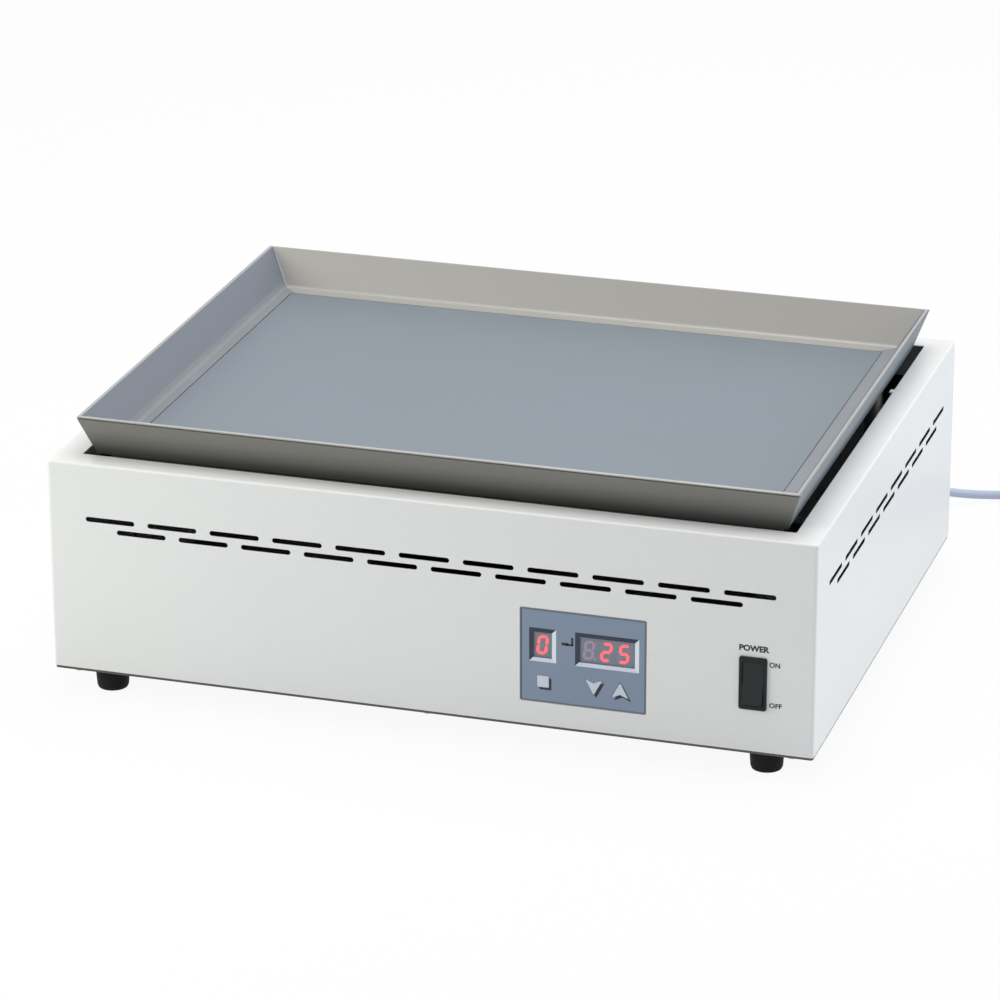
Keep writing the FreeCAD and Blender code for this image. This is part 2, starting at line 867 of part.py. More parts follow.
def heating_element():
    """Sheathed tube bent into a serpentine, with both ends turned down through the insulation."""
    runs = [(i - (element_runs - 1) / 2) * element_pitch for i in range(element_runs)]
    bend = element_pitch / 2
    down = element_turn_down
    low = element_z - element_leg
    quarter = down * (1 - math.sqrt(0.5))
    edges = []
    left = -element_half_x
    right = element_half_x
    first = runs[0]
    edges.append(
        Part.LineSegment(
            Vector(left - down, first, low), Vector(left - down, first, element_z - down)
        ).toShape()
    )
    edges.append(
        Part.Arc(
            Vector(left - down, first, element_z - down),
            Vector(left - down + quarter, first, element_z - quarter),
            Vector(left, first, element_z),
        ).toShape()
    )
    start = left
    for i, y in enumerate(runs):
        end = right if start == left else left
        edges.append(Part.LineSegment(Vector(start, y, element_z), Vector(end, y, element_z)).toShape())
        if i < element_runs - 1:
            bulge = bend if end == right else -bend
            edges.append(
                Part.Arc(
                    Vector(end, y, element_z),
                    Vector(end + bulge, y + bend, element_z),
                    Vector(end, y + element_pitch, element_z),
                ).toShape()
            )
        start = end
    last = runs[-1]
    edges.append(
        Part.Arc(
            Vector(left, last, element_z),
            Vector(left - down + quarter, last, element_z - quarter),
            Vector(left - down, last, element_z - down),
        ).toShape()
    )
    edges.append(
        Part.LineSegment(
            Vector(left - down, last, element_z - down), Vector(left - down, last, low)
        ).toShape()
    )
    path = Part.Wire(edges)
    ring = Part.Wire([Part.makeCircle(element_radius, Vector(left - down, first, low), Z_AXIS)])
    keep("heating_element", path.makePipeShell([ring], True, False))

    seals = []
    for x, y in element_ends():
        profile = [
            (0, 0),
            (seal_radius, 0),
            (seal_radius, -seal_length + 2),
            (seal_radius * 0.7, -seal_length),
            (pin_radius, -seal_length),
            (pin_radius, -seal_length - pin_length),
            (0, -seal_length - pin_length),
        ]
        seals.append(turned(profile, (x, y, low), Z_AXIS))
    keep("element_seals", Part.makeCompound(seals))

    bars = []
    screws = []
    for x in clamp_positions:
        bar = block(
            x - clamp_width / 2,
            x + clamp_width / 2,
            -clamp_length / 2,
            clamp_length / 2,
            clamp_bottom,
            clamp_top,
        )
        upright = [e for e in bar.Edges if e.BoundBox.ZLength > clamp_thickness - 0.01]
        bar = bar.makeFillet(3.0, upright)
        holes = [rod(m4_radius + hole_gap, (x, y, clamp_bottom - 1), Z_AXIS, 6) for y in clamp_screw_rows]
        bars.append(cut_all(bar, holes))
        for y in clamp_screw_rows:
            length = plate_bottom - clamp_bottom + 6
            seat = (x, y, clamp_bottom)
            screws.append(pan_screw(seat, Z_AXIS, m4_head_radius, m4_head_height, m4_radius, length))
    keep("element_clamps", Part.makeCompound(bars))
    keep("clamp_screws", Part.makeCompound(screws))


def temperature_probe():
    """Sheathed probe in a bore from the plate's back edge."""
    edge = plate_half_y + plate_shoulder
    middle = (plate_bottom + shoulder_top) / 2
    profile = [
        (0, -probe_depth),
        (probe_radius * 0.6, -probe_depth),
        (probe_radius, -probe_depth + 1),
        (probe_radius, 0),
        (probe_collar_radius * 0.8, 0),
        (probe_collar_radius * 0.8, 4),
        (probe_collar_radius, 4),
        (probe_collar_radius, probe_collar_length - 2),
        (probe_radius, probe_collar_length),
        (0, probe_collar_length),
    ]
    keep("temperature_probe", turned(profile, (probe_x, edge, middle), Y_AXIS))


def thermal_cutout():
    """Disc cut-out screwed under the plate between two runs of the element."""
    top = plate_bottom
    ears = outline(
        [
            (cutout_x - cutout_screw_spacing / 2 - 4, cutout_y - 4),
            (cutout_x + cutout_screw_spacing / 2 + 4, cutout_y - 4),
            (cutout_x + cutout_screw_spacing / 2 + 4, cutout_y + 4),
            (cutout_x - cutout_screw_spacing / 2 - 4, cutout_y + 4),
        ],
        3.5,
        flat_point,
    )
    ears.translate(Vector(0, 0, top - cutout_flange))
    flange = ears.extrude(Vector(0, 0, cutout_flange))
    body = rod(cutout_radius, (cutout_x, cutout_y, top - cutout_flange - cutout_body), Z_AXIS, cutout_body)
    low = top - cutout_flange - cutout_body
    blades = []
    for side in (-1, 1):
        x = cutout_x + side * 4
        blades.append(block(x - 0.4, x + 0.4, cutout_y - 3, cutout_y + 3, low - cutout_blade, low + 0.5))
    holes = []
    screws = []
    for side in (-0.5, 0.5):
        x = cutout_x + side * cutout_screw_spacing
        holes.append(rod(m3_radius + hole_gap, (x, cutout_y, top - 3), Z_AXIS, 4))
        seat = (x, cutout_y, top - cutout_flange)
        screws.append(pan_screw(seat, Z_AXIS, m3_head_radius, m3_head_height, m3_radius, cutout_flange + 4.5))
    keep("thermal_cutout", cut_all(fused([flange, body] + blades), holes))
    keep("cutout_screws", Part.makeCompound(screws))


def insulation():
    """Fibre blanket in a folded pan that hangs on the posts' shoulders."""
    blanket = slab(blanket_length / 2, blanket_width / 2, 6, blanket_bottom, blanket_top)
    legs = []
    for x, y in element_ends():
        legs.append(
            rod(element_radius + leg_hole_gap, (x, y, blanket_bottom - 5), Z_AXIS, blanket_thickness + 10)
        )
    keep("insulation_blanket", cut_all(blanket, legs))

    inner_x = blanket_length / 2 + blanket_gap
    inner_y = blanket_width / 2 + blanket_gap
    floor_z = blanket_bottom - pan_sheet
    pan = slab(inner_x + pan_sheet, inner_y + pan_sheet, 7.5, floor_z, blanket_top)
    hollow = slab(inner_x, inner_y, 6.5, blanket_bottom, blanket_top + 1)
    ears = []
    holes = []
    for x, y in post_positions().values():
        sx = math.copysign(1, x)
        sy = math.copysign(1, y)
        ear = rectangle(pan_ear, pan_ear, 4, flat_point)
        ear.translate(Vector(x - sx * 8, y - sy * 8, pan_rim_z))
        ears.append(ear.extrude(Vector(0, 0, pan_sheet)))
        holes.append(rod(post_neck_radius + hole_gap, (x, y, pan_rim_z - 1), Z_AXIS, 4))
    for x, y in element_ends():
        holes.append(rod(element_radius + leg_hole_gap, (x, y, floor_z - 1), Z_AXIS, 4))
    body = fused([pan] + ears)
    keep("insulation_pan", cut_all(body, [hollow] + holes))


def window_cutter(x, width, module_width):
    """A window through the thin front layer, with a pocket behind it for its digit module."""
    centre_z = panel_centre_z + window_z
    window = front_slab(
        panel_x + x, centre_z, width / 2, window_height / 2, 0, -cut_spare, fascia_depth + cut_spare
    )
    pocket = front_slab(
        panel_x + x,
        centre_z,
        module_width / 2 + pocket_gap,
        module_height / 2 + pocket_gap,
        0,
        window_layer,
        fascia_depth + cut_spare,
    )
    return window.fuse(pocket)


def key_face(name, grow):
    """A key's outline seen from the front, grown outwards by a gap."""
    if name == "key_mode":
        half = mode_key_size / 2 + grow
        face = rectangle(half, half, 0.6 + grow, front_point)
        x = mode_key_x
    else:
        up = 1 if name == "key_up" else -1
        wide = arrow_half_width + grow * 1.7
        tip = arrow_half_height + grow * 2.3
        heel = arrow_half_height + grow * 0.9
        notch = arrow_half_height - arrow_notch + grow * 0.6
        corners = [(-wide, -up * heel), (0, -up * notch), (wide, -up * heel), (0, up * tip)]
        face = outline(corners, [0.4, 0.6, 0.4, 0.5], front_point)
        x = up_key_x if up > 0 else down_key_x
    face.translate(Vector(panel_x + x, front_y, panel_centre_z + key_z))
    return face, panel_x + x


def control_panel():
    """Moulded fascia, LED modules and display board."""
    front = front_slab(
        panel_x,
        panel_centre_z,
        panel_width / 2 - panel_gap,
        panel_height / 2 - panel_gap,
        panel_corner - panel_gap,
        0,
        casing_sheet,
    )
    flange = front_slab(
        panel_x, panel_centre_z, fascia_flange_x, fascia_flange_z, 2.0, casing_sheet, fascia_depth
    )
    bosses = []
    bores = []
    for x, z in boss_positions():
        start = (panel_x + x, front_y + fascia_depth - 0.5, panel_centre_z + z)
        bosses.append(rod(boss_radius, start, Y_AXIS, board_front_depth - fascia_depth + 0.5))
        bore_start = (panel_x + x, front_y + fascia_depth + 1, panel_centre_z + z)
        bores.append(rod(m25_radius + thread_gap, bore_start, Y_AXIS, board_front_depth))
    for x, z in fascia_stud_positions():
        start = (panel_x + x, front_y, panel_centre_z + z)
        bores.append(rod(m3_radius + hole_gap, start, Y_AXIS, fascia_depth + 1))
    cutters = bores + [
        window_cutter(small_window_x, small_window_width, small_module_width),
        window_cutter(large_window_x, large_window_width, large_module_width),
    ]
    for name in ("key_mode", "key_down", "key_up"):
        face = key_face(name, key_gap)[0]
        face.translate(Vector(0, -1, 0))
        cutters.append(face.extrude(Vector(0, fascia_depth + 2, 0)))
    keep("control_fascia", cut_all(fused([front, flange] + bosses), cutters))

    nuts = []
    for x, z in fascia_stud_positions():
        seat = (panel_x + x, front_y + fascia_depth, panel_centre_z + z)
        nuts.append(hexagon_bar(m3_nut_flats, seat, Y_AXIS, m3_nut_height, m3_radius + thread_gap))
    keep("fascia_nuts", Part.makeCompound(nuts))

    rear = board_front_depth
    for name, x, width in (
        ("digit_module_single", small_window_x, small_module_width),
        ("digit_module_triple", large_window_x, large_module_width),
    ):
        centre_z = panel_centre_z + window_z
        keep(
            name,
            front_slab(panel_x + x, centre_z, width / 2, module_height / 2, 0, module_front_depth, rear),
        )

    board = front_slab(
        panel_x,
        panel_centre_z,
        board_half_x,
        board_half_z,
        1.5,
        board_front_depth,
        board_front_depth + board_thickness,
    )
    holes = []
    screws = []
    for x, z in boss_positions():
        place = (panel_x + x, front_y + board_front_depth - 1, panel_centre_z + z)
        holes.append(rod(m25_radius + hole_gap, place, Y_AXIS, board_thickness + 2))
        seat = (panel_x + x, front_y + board_front_depth + board_thickness, panel_centre_z + z)
        screws.append(
            pan_screw(seat, Vector(0, -1, 0), m25_head_radius, m25_head_height, m25_radius, 6.0)
        )
    keep("display_board", cut_all(board, holes))
    keep("display_board_screws", Part.makeCompound(screws))


def keys():
    """Three keys with collars behind the fascia, and the push switches that they press."""
    switches = []
    for name in ("key_mode", "key_down", "key_up"):
        face, x = key_face(name, 0.0)
        z = panel_centre_z + key_z
        face.translate(Vector(0, -key_proud, 0))
        collar_depth = fascia_depth + key_gap
        cap = face.extrude(Vector(0, key_proud + collar_depth, 0))
        rim = [e for e in cap.Edges if abs(e.BoundBox.YMax - (front_y - key_proud)) < 0.01]
        cap = cap.makeChamfer(0.2, rim)
        collar = front_slab(
            x, z, key_collar / 2, key_collar / 2, 1.5, collar_depth, collar_depth + key_collar_thickness
        )
        stem_depth = collar_depth + key_collar_thickness
        stem = rod(key_stem_radius, (x, front_y + stem_depth - 0.2, z), Y_AXIS, key_stem + 0.2)
        keep(name, fused([cap, collar, stem]))

        button_depth = stem_depth + key_stem + key_travel + key_button_gap
        body_depth = board_front_depth - switch_body_height
        body = front_slab(x, z, switch_body / 2, switch_body / 2, 0.4, body_depth, board_front_depth)
        button = rod(
            switch_button_radius,
            (x, front_y + button_depth, z),
            Y_AXIS,
            body_depth - button_depth + 0.2,
        )
        switches.append(fused([body, button]))
    keep("push_switches", Part.makeCompound(switches))


def power_switch():
    """Rocker switch: bezel and housing, terminals, and the rocker tipped to ON."""
    bezel = front_slab(
        switch_x, switch_centre_z, bezel_width / 2, bezel_height / 2, bezel_corner, -bezel_proud, 0
    )
    rim = [e for e in bezel.Edges if abs(e.BoundBox.YMax - (front_y - bezel_proud)) < 0.01]
    bezel = bezel.makeFillet(0.8, rim)
    body = front_slab(
        switch_x, switch_centre_z, housing_width / 2, housing_height / 2, 0.8, -0.5, housing_depth
    )
    cavity = front_slab(
        switch_x, switch_centre_z, cavity_width / 2, cavity_half_height, 0.6, -bezel_proud - 1, cavity_depth
    )
    pivot = Vector(switch_x, front_y + rocker_pivot_depth, switch_centre_z)
    bore = Part.makeCylinder(
        rocker_pin_radius + thread_gap,
        cavity_width + 2 * (rocker_pin_length + rocker_side_gap),
        pivot - Vector(cavity_width / 2 + rocker_pin_length + rocker_side_gap, 0, 0),
        X_AXIS,
    )
    clips = []
    for side in (-1, 1):
        z = switch_centre_z + side * housing_height / 2
        clip = Part.Face(
            Part.makePolygon(
                [
                    Vector(switch_x - 4, front_y + casing_sheet + 0.2, z),
                    Vector(switch_x - 4, front_y + casing_sheet + 0.2, z + side * 1.6),
                    Vector(switch_x - 4, front_y + casing_sheet + 7, z),
                    Vector(switch_x - 4, front_y + casing_sheet + 0.2, z),
                ]
            )
        )
        clips.append(clip.extrude(Vector(8, 0, 0)))
    keep("switch_housing", cut_all(fused([bezel, body] + clips), [cavity, bore]))

    blades = []
    for x in (-4.5, 4.5):
        for z in (-11.0, 0.0):
            blades.append(
                block(
                    switch_x + x - terminal_thickness / 2,
                    switch_x + x + terminal_thickness / 2,
                    front_y + housing_depth,
                    front_y + housing_depth + terminal_length,
                    switch_centre_z + z - terminal_width / 2,
                    switch_centre_z + z + terminal_width / 2,
                )
            )
    keep("switch_terminals", Part.makeCompound(blades))

    half_width = cavity_width / 2 - rocker_side_gap
    lift = math.tan(math.radians(rocker_half_angle))
    ahead = rocker_radius + 5
    section = outline(
        [
            (rocker_centre_depth, 0),
            (rocker_centre_depth - lift * ahead, ahead),
            (rocker_back_depth, ahead),
            (rocker_back_depth, -ahead),
            (rocker_centre_depth - lift * ahead, -ahead),
        ],
        0,
        lambda a, b: Vector(switch_x - half_width, front_y + a, switch_centre_z + b),
    )
    wedge = section.extrude(Vector(2 * half_width, 0, 0))
    drum = Part.makeCylinder(
        rocker_radius, 2 * half_width, pivot - Vector(half_width, 0, 0), X_AXIS
    )
    cap = wedge.common(drum)
    pins = Part.makeCylinder(
        rocker_pin_radius,
        2 * (half_width + rocker_side_gap + rocker_pin_length),
        pivot - Vector(half_width + rocker_side_gap + rocker_pin_length, 0, 0),
        X_AXIS,
    )
    rocker = fused([cap, pins])
    rocker.rotate(pivot, X_AXIS, -rocker_half_angle)
    keep("rocker", rocker)


def control_board():
    """Board on standoffs with its transformer, relay and capacitors."""
    low = base_top + board_standoff
    top = low + board_thickness
    board = slab(board_length / 2, board_width / 2, 2, low, top)
    board.translate(Vector(board_x, board_y, 0))
    standoffs = []
    screws = []
    holes = []
    bore = m3_radius + thread_gap
    down = Vector(0, 0, -1)
    for x, y in board_hole_positions():
        foot = (x, y, base_top)
        standoffs.append(hexagon_bar(board_standoff_flats, foot, Z_AXIS, board_standoff, bore))
        holes.append(rod(m3_radius + hole_gap, (x, y, low - 1), Z_AXIS, board_thickness + 2))
        for seat, inwards, length in (((x, y, top), down, 6.5), ((x, y, foot_height), Z_AXIS, 6.0)):
            screws.append(pan_screw(seat, inwards, m3_head_radius, m3_head_height, m3_radius, length))
    keep("control_board", cut_all(board, holes))
    keep("board_standoffs", Part.makeCompound(standoffs))
    keep("board_screws", Part.makeCompound(screws))

    length, width, height = transformer_size
    x0 = board_x - board_length / 2 + 14
    y0 = board_y - width / 2
    core = block(x0, x0 + length, y0, y0 + width, top, top + height)
    bobbin = block(
        x0 + 9, x0 + length - 9, y0 - 5, y0 + width + 5, top + 5, top + height - 5
    )
    keep("transformer", fused([core, bobbin]))
    length, width, height = control_relay_size
    x0 = board_x + 8
    y0 = board_y + 12
    case = block(x0, x0 + length, y0, y0 + width, top, top + height)
    upright = [e for e in case.Edges if e.BoundBox.ZLength > height - 0.01]
    keep("control_relay", case.makeFillet(0.8, upright))
    cans = []
    for x in (14.0, 30.0):
        can = rod(capacitor_radius, (board_x + x, board_y - 22, top), Z_AXIS, capacitor_height)
        cans.append(can.makeFillet(0.8, [e for e in can.Edges if e.BoundBox.ZMin > top + 1]))
    keep("board_capacitors", Part.makeCompound(cans))


def relay_and_sink():
    """Solid-state relay on a finned heat sink."""
    fins = [
        block(
            sink_x - sink_length / 2,
            sink_x + sink_length / 2,
            sink_y - sink_width / 2,
            sink_y + sink_width / 2,
            base_top + sink_height - sink_web,
            base_top + sink_height,
        )
    ]
    step = (sink_width - sink_fin) / (sink_fins - 1)
    for i in range(sink_fins):
        y0 = sink_y - sink_width / 2 + i * step
        fins.append(
            block(
                sink_x - sink_length / 2,
                sink_x + sink_length / 2,
                y0,
                y0 + sink_fin,
                base_top,
                base_top + sink_height - sink_web + 0.5,
            )
        )
    top = base_top + sink_height
    holes = []
    screws = []
    for side in (-0.5, 0.5):
        x = sink_x + side * relay_screw_spacing
        holes.append(rod(m4_radius + thread_gap, (x, sink_y, top - sink_web + 1), Z_AXIS, sink_web))
    keep("relay_heat_sink", cut_all(fused(fins), holes))

    body = slab(relay_length / 2, relay_width / 2, 3, top, top + relay_height)
    body.translate(Vector(sink_x, sink_y, 0))
    cutters = []
    for side in (-1, 1):
        x = sink_x + side * relay_length / 2
        low_x, high_x = sorted((x, x - side * 11))
        cutters.append(block(low_x, high_x, sink_y - 6, sink_y + 6, top + 6, top + relay_height + 1))
        screw_x = sink_x + side * relay_screw_spacing / 2
        cutters.append(rod(m4_radius + hole_gap, (screw_x, sink_y, top - 1), Z_AXIS, 9))
        down = Vector(0, 0, -1)
        seat = (screw_x, sink_y, top + 6)
        screws.append(pan_screw(seat, down, m4_head_radius, m4_head_height, m4_radius, 9.5))
    keep("solid_state_relay", cut_all(body, cutters))
    keep("relay_screws", Part.makeCompound(screws))


def terminal_block():
    """Barrier block for the mains leads, and the earth screw beside it."""
    base = block(
        block_x - block_length / 2,
        block_x + block_length / 2,
        block_y - block_width / 2,
        block_y + block_width / 2,
        base_top,
        base_top + block_height,
    )
    seat_z = base_top + block_height * 0.55
    pockets = []
    screws = []
    near_y = block_y - block_width / 2 - 1
    far_y = block_y + block_width / 2 + 1
    for i in range(block_ways):
        x = block_x + (i - (block_ways - 1) / 2) * block_screw_pitch
        pockets.append(block(x - 4, x + 4, near_y, far_y, seat_z, base_top + 30))
        for y in (-6.0, 6.0):
            pockets.append(rod(m3_radius + thread_gap, (x, block_y + y, seat_z - 6), Z_AXIS, 7))
            down = Vector(0, 0, -1)
            screws.append(
                pan_screw((x, block_y + y, seat_z), down, m3_head_radius, m3_head_height, m3_radius, 5)
            )
    keep("terminal_block", cut_all(base, pockets))
    keep("terminal_screws", Part.makeCompound(screws))
    seat = (earth_x, earth_y, base_top)
    down = Vector(0, 0, -1)
    keep("earth_screw", pan_screw(seat, down, m4_head_radius, m4_head_height, m4_radius, base_sheet + 1))


def cord_route():
    """Control points of the free stretch of the cord, from the strain relief's end to the coil.

    The first two numbers of each point run from the strain relief's end, the third from the bench.
    """
    start = Vector(inlet_x, back_y + boot_length, 0)
    lying = cord_diameter / 2 + cord_floor_gap
    points = [
        (0.0, 0.0, inlet_height),
        (0.0, 22.0, inlet_height),
        (3.0, 44.0, 26.0),
        (13.0, 61.5, 12.8),
        (34.5, 75.0, 7.2),
        (57.0, 87.0, 4.8),
        (82.0, 94.6, lying),
        (108.0, 92.6, lying),
    ]
    return [start + Vector(*point) for point in points]


def cord_path(route):
    """Straight runs joined by tangent arcs, each as large as its two runs allow."""
    edges = []
    start = route[0]
    radii = []
    for before, here, after in zip(route, route[1:], route[2:]):
        back = before - here
        ahead = after - here
        shorter = min(back.Length, ahead.Length)
        reach = 0.45 * shorter
        half_turn = (math.pi - back.getAngle(ahead)) / 2
        radius = reach / math.tan(half_turn)
        radii.append(radius)
        back.normalize()
        ahead.normalize()
        inwards = (back + ahead).normalize()
        centre = here + inwards * (radius / math.cos(half_turn))
        entry = here + back * reach
        leaving = here + ahead * reach
        edges.append(Part.LineSegment(start, entry).toShape())
        edges.append(Part.Arc(entry, centre - inwards * radius, leaving).toShape())
        start = leaving
    edges.append(Part.LineSegment(start, route[-1]).toShape())
    return Part.Wire(edges), radii


def strain_relief():
    """Moulded grommet in the back panel with a ribbed, tapered sleeve."""
    outer_face = back_y
    taper = (boot_end_radius - boot_start_radius) / (boot_length - grommet_flange)
    profile = [
        (0, -casing_sheet - grommet_inner),
        (grommet_inner_radius, -casing_sheet - grommet_inner),
        (grommet_inner_radius, -casing_sheet),
        (grommet_hole_radius, -casing_sheet),
        (grommet_hole_radius, 0),
        (grommet_flange_radius, 0),
        (grommet_flange_radius, grommet_flange - 0.8),
        (grommet_flange_radius - 0.8, grommet_flange),
        (boot_start_radius, grommet_flange),
        (boot_end_radius, boot_length),
        (0, boot_length),
    ]
    body = turned(profile, (inlet_x, outer_face, inlet_height), Y_AXIS)
    step = (boot_length - grommet_flange - 6) / boot_rings
    grooves = []
    for i in range(boot_rings):
        along = grommet_flange + 4 + i * step
        radius = boot_start_radius + taper * (along - grommet_flange)
        start = (inlet_x, outer_face + along, inlet_height)
        ring = rod(radius + 2, start, Y_AXIS, boot_ring_width)
        grooves.append(ring.cut(rod(radius - boot_ring_depth, start, Y_AXIS, boot_ring_width)))
    keep("strain_relief", cut_all(body, grooves))


def mains_cord():
    """The free stretch, the put-away coil and the plug."""
    route = cord_route()
    path, radii = cord_path(route)
    first = (route[1] - route[0]).normalize()
    ring = Part.Wire([Part.makeCircle(cord_diameter / 2, route[0], first)])
    tube = path.makePipeShell([ring], True, False)
    keep("mains_cord", tube)
    section = math.pi * (cord_diameter / 2) ** 2
    ratio = tube.Volume / (section * path.Length)
    print("cord arc radii", [round(r, 1) for r in radii], "volume ratio", round(ratio, 4))

    lying = cord_diameter / 2 + cord_floor_gap
    outer_radius = coil_middle_radius + (coil_columns - 1) / 2 * cord_diameter
    heading = (route[-1] - route[-2]).normalize()
    tangent = route[-1] + heading * coil_stub
    centre = tangent + Vector(heading.y, -heading.x, 0) * outer_radius
    wall = outer_radius + cord_diameter / 2
    hollow = coil_middle_radius - coil_columns / 2 * cord_diameter
    top = cord_floor_gap + coil_layers * cord_diameter
    corner = cord_diameter / 2
    section_face = outline(
        [
            (centre.x + hollow, cord_floor_gap),
            (centre.x + wall, cord_floor_gap),
            (centre.x + wall, top),
            (centre.x + hollow, top),
        ],
        corner,
        lambda a, b: Vector(a, centre.y, b),
    )
    ring_solid = section_face.revolve(Vector(centre.x, centre.y, 0), Z_AXIS, 360)
    entry = rod(cord_diameter / 2, route[-1], heading, coil_stub)
    upper = lying + (coil_layers - 1) * cord_diameter
    tail_x = centre.x + outer_radius
    tail = rod(cord_diameter / 2, (tail_x, centre.y, upper), Vector(0, -1, 0), coil_stub)
    keep("cord_coil", fused([ring_solid, entry, tail]))

    mouth_y = centre.y - coil_stub
    body_y = mouth_y - plug_sleeve_length
    face_y = body_y - plug_body_length
    half_height = upper - 0.2
    sleeve = turned(
        [
            (0, 0),
            (cord_diameter / 2 + 1.2, 0),
            (cord_diameter / 2 + 3.4, plug_sleeve_length),
            (0, plug_sleeve_length),
        ],
        (tail_x, mouth_y, upper),
        Vector(0, -1, 0),
    )
    half = plug_width / 2
    body_outline = outline(
        [
            (tail_x - half, face_y),
            (tail_x + half, face_y),
            (tail_x + half, face_y + 14),
            (tail_x + half * 0.62, body_y),
            (tail_x - half * 0.62, body_y),
            (tail_x - half, face_y + 14),
        ],
        [1.5, 1.5, 8, 3, 3, 8],
        flat_point,
    )
    body_outline.translate(Vector(0, 0, upper - half_height))
    body = body_outline.extrude(Vector(0, 0, 2 * half_height))
    rims = [e for e in body.Edges if e.BoundBox.ZLength < 0.01]
    body = body.makeFillet(2.0, rims)
    keep("plug_body", fused([body, sleeve]))

    pins = []
    for side in (-1, 1):
        x = tail_x + side * blade_spacing / 2
        z = upper + live_pin_offset - earth_pin_offset
        pins.append(
            block(
                x - blade_thickness / 2,
                x + blade_thickness / 2,
                face_y - blade_length,
                face_y,
                z - blade_width / 2 + 1,
                z + blade_width / 2 + 1,
            )
        )
    start = (tail_x, face_y, upper - earth_pin_offset - 1)
    pins.append(rod(earth_pin_radius, start, Vector(0, -1, 0), earth_pin_length))
    keep("plug_pins", Part.makeCompound(pins))


def main():
    """Builds every sub-part and writes it to its own file."""
    casing()
    base_plate()
    base_screws()
    feet()
    tray_frame()
    heating_plate()
    plate_posts()
    heating_element()
    temperature_probe()
    thermal_cutout()
    insulation()
    control_panel()
    keys()
    power_switch()
    control_board()
    relay_and_sink()
    terminal_block()
    strain_relief()
    mains_cord()
    os.makedirs("parts", exist_ok=True)
    for name, shape in parts.items():
        if not shape.isValid():
            print("not valid:", name)
        shape.exportStep("parts/" + name + ".step")
    print(len(parts), "sub-parts written")


main()
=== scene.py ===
"""Looks of a laboratory hot plate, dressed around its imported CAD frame.

Metres, +Z up, +X to the right seen from the front, +Y to the back. The origin
is on the bench under the middle of the casing.
"""

import json
import logging
import math
from dataclasses import dataclass, field
from enum import Enum

import bpy
from mathutils import Matrix, Vector

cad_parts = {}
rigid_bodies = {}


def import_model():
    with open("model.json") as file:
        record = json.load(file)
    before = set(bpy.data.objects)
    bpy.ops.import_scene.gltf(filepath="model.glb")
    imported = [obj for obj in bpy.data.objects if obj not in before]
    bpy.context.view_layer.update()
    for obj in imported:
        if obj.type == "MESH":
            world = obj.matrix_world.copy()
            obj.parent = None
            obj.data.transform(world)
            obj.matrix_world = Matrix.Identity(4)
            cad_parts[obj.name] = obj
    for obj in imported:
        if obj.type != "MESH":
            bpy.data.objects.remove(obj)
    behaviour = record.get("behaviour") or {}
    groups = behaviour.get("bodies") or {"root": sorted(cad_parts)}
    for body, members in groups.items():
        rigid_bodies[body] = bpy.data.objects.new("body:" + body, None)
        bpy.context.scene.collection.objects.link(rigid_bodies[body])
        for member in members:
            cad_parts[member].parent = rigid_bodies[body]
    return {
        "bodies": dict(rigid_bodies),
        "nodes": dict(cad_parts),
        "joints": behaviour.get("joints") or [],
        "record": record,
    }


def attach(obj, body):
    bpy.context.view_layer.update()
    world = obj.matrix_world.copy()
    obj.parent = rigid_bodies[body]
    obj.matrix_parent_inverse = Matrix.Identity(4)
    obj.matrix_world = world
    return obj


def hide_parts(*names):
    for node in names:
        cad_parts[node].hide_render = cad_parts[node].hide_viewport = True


LOG = logging.getLogger("hot_plate")
Point = tuple[float, float, float]
Flat = tuple[float, float]
Colour = tuple[float, float, float]
HOUSING = "housing"

# Where the casing's and the tray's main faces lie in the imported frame.
CASING_HALF_X = 0.27
CASING_HALF_Y = 0.21
CASING_TOP = 0.1705
FRONT_Y = -CASING_HALF_Y
SLOTS_LOW = 0.115
SLOTS_HIGH = 0.14
LEDGE_TOP = 0.1752
SKIRT_LOW = 0.165
RIM_LOW = 0.198
BACK_END = 0.2
FAR = 1.0
# The tray's mitres lie where the distance to the middle along Y less that along X is this.
MITRE = -0.059
MITRE_BLEND = 0.0002
# Along ACROSS_WALL the side walls' inner faces lie below this and their skirts above it.
WALL_MIDDLE = 0.1504
# Heights on the control panel, and how wide the bevels around its windows are.
WINDOW_LOW = 0.06815
WINDOW_HIGH = 0.08655
BEVEL_WIDTH = 0.0029
KEY_HEIGHT = 0.0511
# How far printing stands in front of the surface that it lies on.
INK = 0.00005

# Directions that tones change along.
ALONG_X = (1.0, 0.0, 0.0)
ALONG_Y = (0.0, 1.0, 0.0)
ALONG_Z = (0.0, 0.0, 1.0)
PAST_BACK_MITRE = (-1.0, 1.0, 0.0)
PAST_FRONT_MITRE = (-1.0, -1.0, 0.0)
ACROSS_WALL = (0.914, 0.0, -0.405)
DOWN_SKIRT = (0.0, 1.0, -1.0)
# Painted shade: the vent slots' cut edges are coloured near black.
SLOT_EDGE_PAINTED_SHADE = (0.03, 0.03, 0.03)


class Texture(Enum):
    """How a finish's fine texture runs over the surface."""

    POWDER = "powder"
    ROLLED = "rolled"
    MOULDED = "moulded"
    FIBRE = "fibre"
    PRINTED = "printed"


@dataclass(frozen=True)
class Fade:
    """A second tone that a finish takes on along a direction, the same on opposite sides; here the
    fades paint shade and light.

    The place along the direction is worked out from the distances to the two
    middle planes and the height; without both_ways the front and the back
    differ. The finish's own colour holds up to start and the tone is full at
    end, which may lie to either side of start. With within the tone stays
    between two corners, given in the same distances.
    """

    colour: Colour
    start: float
    end: float
    along: Point = ALONG_Z
    both_ways: bool = True
    within: tuple[Point, Point] | None = None


